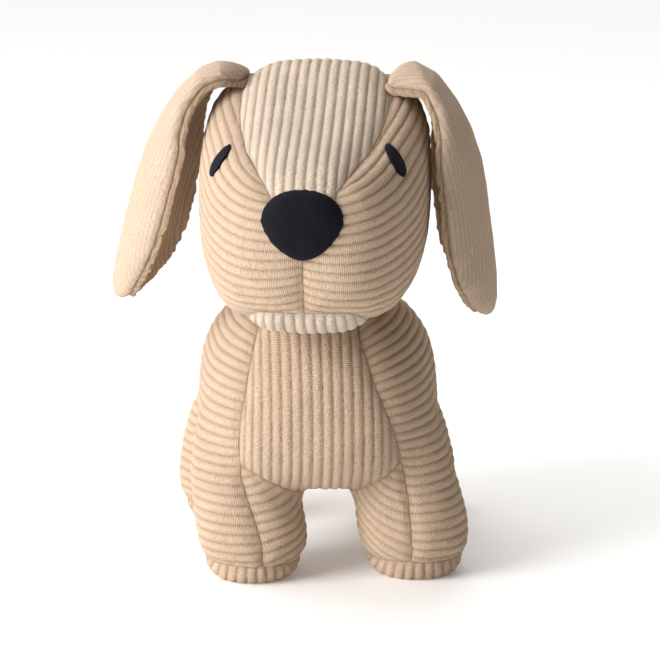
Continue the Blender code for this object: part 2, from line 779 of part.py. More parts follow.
def neck_wad(name, parent, clearance, top):
    """A round plug between two spheres about the neck's centre, made by turning its profile."""
    low = PLUG_TOP - PLUG_THICKNESS - clearance
    widest = PLUG_ANGLE + clearance / low
    steps, around = PLUG_STEPS
    profile = [(low, widest * k / steps) for k in range(steps + 1)]
    profile += [(top, widest * k / steps) for k in range(steps, -1, -1)]
    form = bmesh.new()
    verts = [form.verts.new((r * math.sin(a), 0, r * math.cos(a))) for r, a in profile]
    edges = [form.edges.new(pair) for pair in zip(verts, verts[1:])]
    bmesh.ops.spin(
        form,
        geom=verts + edges,
        axis=(0, 0, 1),
        cent=(0, 0, 0),
        angle=math.tau,
        steps=around,
        use_merge=True,
    )
    bmesh.ops.remove_doubles(form, verts=form.verts[:], dist=0.01)
    bmesh.ops.translate(form, verts=form.verts[:], vec=NECK_CENTRE)
    return solid_object(name, form, "stuffing", parent, parent_origin(parent))


def parent_origin(parent):
    """Where a pivot stands, in millimetres, for forms that are drawn in the dog's own frame."""
    return Vector(parent.location) / MM


def build_label(dog):
    """A blank folded tape that is caught in the seam beside the tail."""
    form = bmesh.new()
    bmesh.ops.create_cube(form, size=1)
    bmesh.ops.scale(form, vec=LABEL_SIZE, verts=form.verts[:])
    bmesh.ops.bevel(
        form,
        geom=form.edges[:],
        offset=LABEL_EDGE,
        segments=1,
        affect="EDGES",
        profile=0.5,
        material=-1,
    )
    bmesh.ops.rotate(form, verts=form.verts[:], matrix=Matrix.Rotation(LABEL_TILT, 3, "X"))
    bmesh.ops.translate(form, verts=form.verts[:], vec=LABEL_PLACE)
    solid_object("care_label", form, "label_tape", dog)


# ---------------------------------------------------------------- tail


def tail_form():
    """A tapered roll with a ball for its root, along +Z."""
    rows = [(-TAIL_RADIUS * math.cos(a), TAIL_RADIUS * math.sin(a)) for a in np.linspace(0, 1.5, 5)]
    rows += [(TAIL_LENGTH * 0.3, TAIL_RADIUS - 0.8), (TAIL_LENGTH * 0.65, TAIL_RADIUS - 2.6)]
    end = TAIL_LENGTH - TAIL_TIP_RADIUS
    rows += [
        (end + TAIL_TIP_RADIUS * math.sin(a), TAIL_TIP_RADIUS * math.cos(a))
        for a in np.linspace(0, math.pi / 2, 4)
    ]

    def ring_point(row, angle):
        radius = max(row[1], 0.0)
        return Vector((radius * math.cos(angle), radius * math.sin(angle), row[0]))

    return lofted_form(rows, *TAIL_RINGS, ring_point)


def build_tail(dog):
    """Two cover panels and the stuffing, on a pivot at the root."""
    root = pivot("tail_pivot", TAIL_ROOT, dog, (TAIL_RISE - math.pi / 2, 0, 0))
    form = tail_form()
    solid_object("tail_stuffing", taken_in(form, CLOTH + GAP), "stuffing", root)
    cut_along(form, lambda p: p.x)
    keep_normals(form)
    for side, sign in (("left", 1), ("right", -1)):
        cover = panel(form, side, lambda p: "left" if p.x > 0 else "right")
        solid_object(f"tail_cover_{side}", cover, "corduroy", root)
    form.free()


# ---------------------------------------------------------------- assembly


def centre_on_origin(dog):
    """Moves the dog so that the middle of its box stands on the origin."""
    bpy.context.view_layer.update()
    graph = bpy.context.evaluated_depsgraph_get()
    corners = []
    for obj in bpy.context.scene.objects:
        if obj.type == "MESH" and not obj.hide_render:
            mesh = obj.evaluated_get(graph).to_mesh()
            points = np.empty(len(mesh.vertices) * 3, np.float32)
            mesh.vertices.foreach_get("co", points)
            matrix = np.array(obj.matrix_world)
            points = points.reshape(-1, 3) @ matrix[:3, :3].T + matrix[:3, 3]
            corners += [points.min(axis=0), points.max(axis=0)]
    low, high = np.min(corners, axis=0), np.max(corners, axis=0)
    dog.location.x -= (low[0] + high[0]) / 2
    dog.location.y -= (low[1] + high[1]) / 2


def main():
    """Clears the scene and builds the dog."""
    for obj in bpy.data.objects[:]:
        bpy.data.objects.remove(obj)
    dog = pivot("dog", Vector())
    build_torso(dog)
    build_torso_stuffing(dog)
    build_label(dog)
    build_tail(dog)
    neck = pivot("neck_pivot", NECK_CENTRE, dog, (0, 0, HEAD_TURN))
    neck_wad("neck_stuffing", neck, 0.0, PLUG_TOP)
    build_head(neck)
    for name, side in (("left", 1), ("right", -1)):
        build_ear(name, side, neck)
    centre_on_origin(dog)


main()
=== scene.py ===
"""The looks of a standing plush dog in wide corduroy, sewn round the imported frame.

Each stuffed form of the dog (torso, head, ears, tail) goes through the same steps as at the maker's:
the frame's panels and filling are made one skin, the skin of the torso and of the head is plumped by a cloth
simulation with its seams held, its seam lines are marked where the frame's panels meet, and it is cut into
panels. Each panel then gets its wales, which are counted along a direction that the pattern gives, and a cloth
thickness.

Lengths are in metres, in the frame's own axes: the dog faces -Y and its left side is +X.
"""

import json
import logging
import math
from dataclasses import dataclass, field
from enum import Enum

import bmesh
import bpy
import numpy as np
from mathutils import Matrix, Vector, noise
from mathutils.bvhtree import BVHTree
from mathutils.kdtree import KDTree

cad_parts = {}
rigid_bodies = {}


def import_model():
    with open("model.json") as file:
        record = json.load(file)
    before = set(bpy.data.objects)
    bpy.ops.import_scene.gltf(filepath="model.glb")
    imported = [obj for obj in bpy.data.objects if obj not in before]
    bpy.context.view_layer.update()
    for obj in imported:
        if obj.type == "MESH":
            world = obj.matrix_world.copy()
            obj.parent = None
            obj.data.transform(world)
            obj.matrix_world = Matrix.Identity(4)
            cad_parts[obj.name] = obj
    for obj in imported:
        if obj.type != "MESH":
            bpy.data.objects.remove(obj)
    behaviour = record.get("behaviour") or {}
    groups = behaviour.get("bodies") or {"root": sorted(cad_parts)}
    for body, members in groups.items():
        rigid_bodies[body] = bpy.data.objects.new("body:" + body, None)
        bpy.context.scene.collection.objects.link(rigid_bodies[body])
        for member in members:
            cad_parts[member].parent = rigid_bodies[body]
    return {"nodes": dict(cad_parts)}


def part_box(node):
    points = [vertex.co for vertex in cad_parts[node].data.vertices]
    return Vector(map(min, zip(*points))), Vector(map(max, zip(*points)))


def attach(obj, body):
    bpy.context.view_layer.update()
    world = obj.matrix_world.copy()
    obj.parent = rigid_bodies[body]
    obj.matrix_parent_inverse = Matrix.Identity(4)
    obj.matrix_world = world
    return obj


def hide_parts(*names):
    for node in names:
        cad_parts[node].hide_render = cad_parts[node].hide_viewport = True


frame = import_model()

LOG = logging.getLogger("plush_dog")
MM = 0.001

CLOTH_THICKNESS = 1.3 * MM
HEAD_TURN = math.radians(-8.5)
NECK_RADIUS = 60 * MM
RIBS_PER_WALE = 5.5
TAPE_THREADS = 0.6 * MM
EYE_SIZE = (3.9 * MM, 7.8 * MM, 7.8 * MM, (2.2, 2.2))
SIMULATED_FRAMES = 20
COUNTING_ROUNDS = 350
RUN_ROUNDS = 250
PUCKER_SIZE = 5 * MM
BIG_LUMPS = 38 * MM
SMALL_LUMPS = 17 * MM
UNEVEN_DEPTH = 12 * MM
FIBRE_LUMPS = 9 * MM
FIBRE_SLACK = 1.4 * MM


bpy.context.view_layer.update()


# ---------------------------------------------------------------- finishes


@dataclass(frozen=True)
class Corduroy:
    """One cloth: its wales, colours and surface.

    Attributes:
        name: The material's name.
        ridge: Linear colour of a wale's top.
        valley: Linear colour between the wales, darker than the ridge: partly the darker pile where it parts, partly
            painted shade in the valleys.
        pitch: Distance from wale to wale.
        depth: How far the valleys lie below the tops.
        sharpness: Below 1 the tops are broad and the valleys narrow.
        rib: Strength of the fine knit ribs that cross the wales.
        slot: The record's material slot; not used.
    """

    name: str
    ridge: tuple[float, float, float]
    valley: tuple[float, float, float]
    pitch: float
    depth: float
    sharpness: float
    rib: float
    slot: str


class Cloth(Enum):
    """The cloths that the dog is cut from."""

    BODY = Corduroy("beige_corduroy", (0.555, 0.42, 0.31), (0.42, 0.285, 0.18), 5.2 * MM, 0.9 * MM, 0.62, 1.0,
                    "corduroy")
    # A lighter copy of the body's corduroy for the crown and chin strips: its lighter colour is painted light, for the
    # key light that falls on the crown strip.
    CROWN = Corduroy("cream_corduroy", (0.62, 0.52, 0.425), (0.46, 0.345, 0.25), 5.1 * MM, 0.95 * MM, 0.62, 1.0,
                     "crown_corduroy")
    EAR_OUTER = Corduroy("ear_velour", (0.60, 0.465, 0.355), (0.52, 0.385, 0.275), 3.0 * MM, 0.1 * MM, 1.0, 0.8,
                         "ear_velour")
    EAR_INNER = Corduroy("ear_lining", (0.55, 0.41, 0.29), (0.42, 0.285, 0.18), 2.6 * MM, 0.3 * MM, 0.9, 0.8,
                         "corduroy")


class Count(Enum):
    """The direction in which a panel's wales are counted, so they run square to it."""

    UP = "up"  # wales run level, round the body
    ACROSS = "across"  # wales run from front to back, or up and down on the chest


# ---------------------------------------------------------------- shader node groups


class NodeMaker:
    """Adds and links shader nodes in one tree."""

    def __init__(self, tree: bpy.types.NodeTree) -> None:
        """Keeps the tree.

        Args:
            tree: The material's or the group's node tree.
        """
        self.tree = tree

    def add(self, kind: str, inputs: dict | None = None, **settings) -> bpy.types.Node:
        """Makes a node.

        Args:
            kind: The node's type, without its ShaderNode prefix.
            inputs: Values or sockets for its inputs, by name or number.
            **settings: The node's own properties.

        Returns:
            The node.
        """
        node = self.tree.nodes.new(kind if kind.startswith("Node") else "ShaderNode" + kind)
        for key, value in settings.items():
            setattr(node, key, value)
        for key, value in (inputs or {}).items():
            if isinstance(value, bpy.types.NodeSocket):
                self.tree.links.new(value, node.inputs[key])
            else:
                node.inputs[key].default_value = value
        return node

    def link(self, output: bpy.types.NodeSocket, target: bpy.types.NodeSocket) -> None:
        """Links two sockets."""
        self.tree.links.new(output, target)

    def maths(self, operation: str, first, second=0.0) -> bpy.types.NodeSocket:
        """A Math node's result.

        Args:
            operation: The Math node's operation.
            first: A value or a socket.
            second: A value or a socket.

        Returns:
            The output socket.
        """
        return self.add("Math", {0: first, 1: second}, operation=operation).outputs[0]

    def blend(self, share, first, second) -> bpy.types.NodeSocket:
        """A colour between two others.

        Args:
            share: 0 gives the first colour and 1 the second.
            first: A colour or a socket.
            second: A colour or a socket.

        Returns:
            The mixed colour's socket.
        """
        node = self.add("Mix", data_type="RGBA")
        for socket, value in ((node.inputs["Factor"], share), (node.inputs[6], first), (node.inputs[7], second)):
            if isinstance(value, bpy.types.NodeSocket):
                self.tree.links.new(value, socket)
            else:
                socket.default_value = value
        return node.outputs[2]


def new_group(name: str, inputs: dict[str, tuple], outputs: dict[str, str]) -> tuple:
    """A shader node group with named sockets.

    Args:
        name: The group's name.
        inputs: Socket type and default value by socket name.
        outputs: Socket type by socket name.

    Returns:
        The group, a NodeMaker for it, its input node and its output node.
    """
    group = bpy.data.node_groups.new(name, "ShaderNodeTree")
    for label, (kind, default) in inputs.items():
        socket = group.interface.new_socket(label, in_out="INPUT", socket_type=kind)
        socket.default_value = default
    for label, kind in outputs.items():
        group.interface.new_socket(label, in_out="OUTPUT", socket_type=kind)
    maker = NodeMaker(group)
    return group, maker, maker.add("NodeGroupInput"), maker.add("NodeGroupOutput")


def pile_group() -> bpy.types.NodeTree:
    """The short pile of a napped knit: colour flecks with a faint painted shade between the fine ribs, and a height of
    fine ribs and fuzz.

    Returns:
        The node group, with outputs Fleck (0 to 1) and Height.
    """
    group, maker, given, result = new_group(
        "napped_knit",
        {"Grain": ("NodeSocketVector", (0, 0, 0)), "Rib": ("NodeSocketFloat", 1.0)},
        {"Fleck": "NodeSocketFloat", "Height": "NodeSocketFloat"},
    )
    place = maker.add("TexCoord").outputs["Object"]
    fuzz = maker.add("TexNoise", {"Vector": place, "Scale": 1150, "Detail": 3, "Roughness": 0.75}).outputs["Fac"]
    tufts = maker.add("TexNoise", {"Vector": place, "Scale": 420, "Detail": 2}).outputs["Fac"]
    patches = maker.add("TexNoise", {"Vector": place, "Scale": 60, "Detail": 2}).outputs["Fac"]
    parts = maker.add("SeparateXYZ", {0: given.outputs["Grain"]})
    warp = maker.maths("MULTIPLY", maker.maths("SUBTRACT", tufts, 0.5), 0.35)
    along = maker.maths("ADD", parts.outputs["Y"], warp)
    wave = maker.maths("SINE", maker.maths("MULTIPLY", along, math.tau * RIBS_PER_WALE))
    rib = maker.maths("MULTIPLY", maker.maths("MULTIPLY", wave, given.outputs["Rib"]), 0.22)
    height = maker.maths("ADD", maker.maths("ADD", rib, maker.maths("MULTIPLY", fuzz, 1.1)), tufts)
    maker.link(height, result.inputs["Height"])
    grains = maker.add("MapRange", {"Value": fuzz, "From Min": 0.34, "From Max": 0.68}).outputs["Result"]
    fleck = maker.maths("ADD", maker.maths("MULTIPLY", grains, 0.6), maker.maths("MULTIPLY", patches, 0.4))
    # The ribs' height lightens the rib tops and darkens the hollows between them a little: painted shade.
    maker.link(maker.maths("ADD", fleck, maker.maths("MULTIPLY", rib, 0.25)), result.inputs["Fleck"])
    return group


def scaled(colour: tuple[float, float, float], factor: float) -> tuple[float, float, float, float]:
    """A colour made lighter or darker, with alpha.

    Args:
        colour: Linear red, green and blue.
        factor: What each is multiplied by.

    Returns:
        Red, green, blue and alpha.
    """
    return (*(min(1.0, channel * factor) for channel in colour), 1.0)


class Finishes:
    """The dog's materials, each made once."""

    def __init__(self) -> None:
        """Makes the node group that the cloths share."""
        self.pile = pile_group()
        self.made: dict[str, bpy.types.Material] = {}

    def start(self, name: str) -> tuple[bpy.types.Material, NodeMaker, bpy.types.Node]:
        """A new node material.

        Args:
            name: The material's name.

        Returns:
            The material, a NodeMaker for its tree, and its Principled BSDF.
        """
        material = bpy.data.materials.new(name)
        material.use_nodes = True
        self.made[name] = material
        return material, NodeMaker(material.node_tree), material.node_tree.nodes["Principled BSDF"]

    @staticmethod
    def rough(maker: NodeMaker, shader: bpy.types.Node, height: bpy.types.NodeSocket, strength: float,
              distance: float) -> None:
        """Gives a shader its bump."""
        bump = maker.add("Bump", {"Height": height, "Strength": strength, "Distance": distance})
        maker.link(bump.outputs["Normal"], shader.inputs["Normal"])

    def corduroy(self, cloth: Corduroy) -> bpy.types.Material:
        """A napped corduroy whose valleys, seams and flecks read the panel's own attributes; its darker valleys are
        partly painted shade, and its darker seam lines are painted shade.

        Args:
            cloth: The cloth's sizes and colours.

        Returns:
            The material.
        """
        if cloth.name in self.made:
            return self.made[cloth.name]
        material, maker, shader = self.start(cloth.name)
        grain = maker.add("UVMap", uv_map="grain").outputs["UV"]
        nap = maker.add("Attribute", attribute_name="nap").outputs["Fac"]
        seam = maker.add("Attribute", attribute_name="seam").outputs["Fac"]
        pile = maker.add("Group", {"Grain": grain, "Rib": cloth.rib}, node_tree=self.pile)
        top = maker.blend(pile.outputs["Fleck"], scaled(cloth.ridge, 0.74), scaled(cloth.ridge, 1.26))
        # The valleys get the darker valley colour: partly the darker pile where it parts, partly painted shade between
        # the wales.
        valley_pile_and_shade = maker.blend(pile.outputs["Fleck"], scaled(cloth.valley, 0.78), scaled(cloth.valley, 1.2))
        colour = maker.blend(nap, valley_pile_and_shade, top)
        # Painted shade: the colour darkens along the seam line, in the seam's crease.
        colour = maker.blend(maker.maths("MULTIPLY", seam, 0.45), colour, scaled(cloth.valley, 0.72))
        maker.link(colour, shader.inputs["Base Color"])
        shader.inputs["Roughness"].default_value = 0.95
        shader.inputs["Specular IOR Level"].default_value = 0.15
        shader.inputs["Sheen Weight"].default_value = 0.35
        shader.inputs["Sheen Roughness"].default_value = 0.45
        shader.inputs["Sheen Tint"].default_value = scaled(cloth.ridge, 1.2)
        self.rough(maker, shader, pile.outputs["Height"], 0.9, 0.0007)
        return material

    def thread(self) -> bpy.types.Material:
        """The near-black embroidery thread of the nose and the eyes."""
        if "black_thread" in self.made:
            return self.made["black_thread"]
        material, maker, shader = self.start("black_thread")
        place = maker.add("TexCoord").outputs["Object"]
        fuzz = maker.add("TexNoise", {"Vector": place, "Scale": 1600, "Detail": 3}).outputs["Fac"]
        patches = maker.add("TexNoise", {"Vector": place, "Scale": 150, "Detail": 2}).outputs["Fac"]
        share = maker.maths("MULTIPLY", maker.maths("ADD", fuzz, patches), 0.5)
        maker.link(maker.blend(share, (0.001, 0.001, 0.003, 1), (0.009, 0.008, 0.014, 1)),
                   shader.inputs["Base Color"])
        shader.inputs["Roughness"].default_value = 0.8
        shader.inputs["Specular IOR Level"].default_value = 0.12
        shader.inputs["Sheen Weight"].default_value = 0.025
        shader.inputs["Sheen Tint"].default_value = (0.5, 0.5, 0.7, 1)
        self.rough(maker, shader, fuzz, 0.7, 0.0005)
        return material

    def fibre(self) -> bpy.types.Material:
        """White polyester filling."""
        if "filling_fibre" in self.made:
            return self.made["filling_fibre"]
        material, maker, shader = self.start("filling_fibre")
        place = maker.add("TexCoord").outputs["Object"]
        strands = maker.add("TexNoise", {"Vector": place, "Scale": 240, "Detail": 6, "Distortion": 2.5})
        share = strands.outputs["Fac"]
        maker.link(maker.blend(share, (0.62, 0.62, 0.6, 1), (0.9, 0.9, 0.88, 1)), shader.inputs["Base Color"])
        shader.inputs["Roughness"].default_value = 0.9
        self.rough(maker, shader, share, 0.8, 0.001)
        return material

    def tape(self) -> bpy.types.Material:
        """The smooth woven tape of the label, with its fine cross threads."""
        if "label_tape" in self.made:
            return self.made["label_tape"]
        material, maker, shader = self.start("label_tape")
        place = maker.add("TexCoord").outputs["Object"]
        parts = maker.add("SeparateXYZ", {0: place})
        weave = maker.maths("SINE", maker.maths("MULTIPLY", parts.outputs["Z"], math.tau / TAPE_THREADS))
        warp = maker.maths("SINE", maker.maths("MULTIPLY", parts.outputs["X"], math.tau / TAPE_THREADS))
        height = maker.maths("MULTIPLY", maker.maths("ADD", weave, warp), 0.5)
        grime = maker.add("TexNoise", {"Vector": place, "Scale": 90, "Detail": 2}).outputs["Fac"]
        maker.link(maker.blend(grime, (0.78, 0.78, 0.75, 1), (0.88, 0.88, 0.86, 1)), shader.inputs["Base Color"])
        shader.inputs["Roughness"].default_value = 0.45
        self.rough(maker, shader, height, 0.4, 0.0001)
        return material


# ---------------------------------------------------------------- mesh arrays


class Skin:
    """A triangle mesh's arrays, and the sums over its edges that the cloth work needs."""

    def __init__(self, mesh: bpy.types.Mesh) -> None:
        """Reads the mesh.

        Args:
            mesh: The mesh to work on.
        """
        self.mesh = mesh
        self.points = self.read_points()
        edges = np.empty(len(mesh.edges) * 2, np.int32)
        mesh.edges.foreach_get("vertices", edges)
        self.edges = edges.reshape(-1, 2)
        self.degree = np.maximum(self.sum_at(np.ones(len(self.edges))), 1.0)

    def read_points(self) -> np.ndarray:
        """The vertices' places."""
        flat = np.empty(len(self.mesh.vertices) * 3, np.float32)
        self.mesh.vertices.foreach_get("co", flat)
        return flat.reshape(-1, 3).astype(float)

    def write_points(self) -> None:
        """Puts the places back in the mesh."""
        self.mesh.vertices.foreach_set("co", self.points.astype(np.float32).ravel())
        self.mesh.update()

    def normals(self) -> np.ndarray:
        """The vertices' outward normals."""
        flat = np.empty(len(self.mesh.vertices) * 3, np.float32)
        self.mesh.vertices.foreach_get("normal", flat)
        return flat.reshape(-1, 3).astype(float)

    def triangles(self) -> np.ndarray:
        """The faces' vertices, for a mesh that has only triangles."""
        flat = np.empty(len(self.mesh.loops), np.int32)
        self.mesh.loops.foreach_get("vertex_index", flat)
        return flat.reshape(-1, 3)

    def sum_at(self, values: np.ndarray) -> np.ndarray:
        """Adds each edge's value at both of its ends.

        Args:
            values: One number for each edge.

        Returns:
            One number for each vertex.
        """
        count = len(self.points)
        return np.bincount(self.edges[:, 0], values, count) + np.bincount(self.edges[:, 1], values, count)

    def neighbour_sum(self, values: np.ndarray) -> np.ndarray:
        """For each vertex, the sum of its neighbours' values."""
        count = len(self.points)
        first, second = self.edges[:, 0], self.edges[:, 1]
        return np.bincount(first, values[second], count) + np.bincount(second, values[first], count)

    def soften(self, values: np.ndarray, rounds: int, share: float = 0.5) -> np.ndarray:
        """Values moved towards the mean of their neighbours.

        Args:
            values: One number, or one row of numbers, for each vertex.
            rounds: How many times.
            share: How far each time.

        Returns:
            The softened values.
        """
        table = values if values.ndim == 2 else values[:, None]
        for _ in range(rounds):
            mean = np.stack([self.neighbour_sum(column) for column in table.T], axis=1) / self.degree[:, None]
            table = table + share * (mean - table)
        return table if values.ndim == 2 else table[:, 0]

    def sum_of_places(self, moved: np.ndarray, place: np.ndarray) -> tuple[np.ndarray, np.ndarray]:
        """For each vertex, how many places are given for it, and their sum."""
        count = len(self.points)
        sums = np.stack([np.bincount(moved, place[:, k], count) for k in range(3)], axis=1)
        return np.bincount(moved, minlength=count), sums

    def keep(self, name: str, values: np.ndarray) -> None:
        """Stores a number or a vector for each vertex as a named attribute."""
        kind, key = ("FLOAT_VECTOR", "vector") if values.ndim == 2 else ("FLOAT", "value")
        layer = self.mesh.attributes.get(name) or self.mesh.attributes.new(name, kind, "POINT")
        layer.data.foreach_set(key, values.astype(np.float32).ravel())

    def kept(self, name: str) -> np.ndarray:
        """Reads a named attribute back."""
        layer = self.mesh.attributes[name]
        vector = layer.data_type == "FLOAT_VECTOR"
        flat = np.empty(len(self.points) * (3 if vector else 1), np.float32)
        layer.data.foreach_get("vector" if vector else "value", flat)
        return flat.reshape(-1, 3).astype(float) if vector else flat.astype(float)

    def counted(self, targets: np.ndarray, weights: np.ndarray, start: np.ndarray, rounds: int) -> np.ndarray:
        """A value for each vertex whose steps along the edges come as close as they can to the targets.

        Args:
            targets: The wanted step from each edge's first end to its second.
            weights: How much each edge's step matters.
            start: A first guess.
            rounds: How many conjugate gradient steps to take.

        Returns:
            The values.
        """
        count = len(self.points)
        first, second = self.edges[:, 0], self.edges[:, 1]

        def gathered(flow: np.ndarray) -> np.ndarray:
            """What flows into each vertex."""
            return np.bincount(second, flow, count) - np.bincount(first, flow, count)

        def stiff(values: np.ndarray) -> np.ndarray:
            """The weighted Laplacian of the values."""
            return gathered(weights * (values[second] - values[first]))

        scale = 1.0 / np.maximum(self.sum_at(weights), 1e-9)
        values = start.copy()
        rest = gathered(weights * targets) - stiff(values)
        step = scale * rest
        energy = rest @ step
        for _ in range(rounds):
            pushed = stiff(step)
            length = energy / max(step @ pushed, 1e-20)
            values += length * step
            rest -= length * pushed
            eased = scale * rest
            fresh = rest @ eased
            if fresh < 1e-14:
                break
            step = eased + (fresh / energy) * step
            energy = fresh
        return values


def ramp(low: float, high: float, values: np.ndarray) -> np.ndarray:
    """A smooth step from 0 at low to 1 at high."""
    share = np.clip((values - low) / (high - low), 0, 1)
    return share * share * (3 - 2 * share)


def ripple(points: np.ndarray, size: float, seed: float) -> np.ndarray:
    """Smooth seeded noise at each point.

    Args:
        points: The places.
        size: Distance over which the noise changes.
        seed: Another value gives other noise.

    Returns:
        Numbers from about -1 to 1.
    """
    shifted = points / size + np.array((seed, seed * 1.7, seed * 0.3))
    return np.array([noise.noise(Vector(point)) for point in shifted.tolist()])


def link(mesh: bpy.types.Mesh, name: str) -> bpy.types.Object:
    """A new object in the scene."""
    obj = bpy.data.objects.new(name, mesh)
    bpy.context.scene.collection.objects.link(obj)
    return obj


def apply_modifiers(obj: bpy.types.Object) -> None:
    """Makes an object's evaluated mesh its own."""
    graph = bpy.context.evaluated_depsgraph_get()
    mesh = bpy.data.meshes.new_from_object(obj.evaluated_get(graph), preserve_all_data_layers=True,
                                           depsgraph=graph)
    obj.modifiers.clear()
    obj.data = mesh


def largest_piece(mesh: bpy.types.Mesh) -> None:
    """Deletes everything but the biggest shell of a mesh, which leaves out closed hollows inside it."""
    form = bmesh.new()
    form.from_mesh(mesh)
    left = set(form.verts)
    shells = []
    while left:
        front = [left.pop()]
        shell = set(front)
        while front:
            vert = front.pop()
            for edge in vert.link_edges:
                other = edge.other_vert(vert)
                if other in left:
                    left.discard(other)
                    shell.add(other)
                    front.append(other)
        shells.append(shell)
    for shell in sorted(shells, key=len)[:-1]:
        bmesh.ops.delete(form, geom=list(shell), context="VERTS")
    form.to_mesh(mesh)
    form.free()


# ---------------------------------------------------------------- stuffed forms


@dataclass(frozen=True)
class Panel:
    """One piece of a form's pattern.

    Attributes:
        node: The frame's node that it stands for.
        cloth: The cloth that it is cut from.
        count: The direction in which its wales are counted.
        slant: How far the wales slope down towards the middle of the dog.
        droop: How far the wales slope down towards the front.
    """

    node: str
    cloth: Cloth
    count: Count
    slant: float = 0.0
    droop: float = 0.0

    @property
    def side(self) -> int:
        """1 on the dog's left, -1 on its right, 0 in the middle."""
        return 1 if "left" in self.node else -1 if "right" in self.node else 0


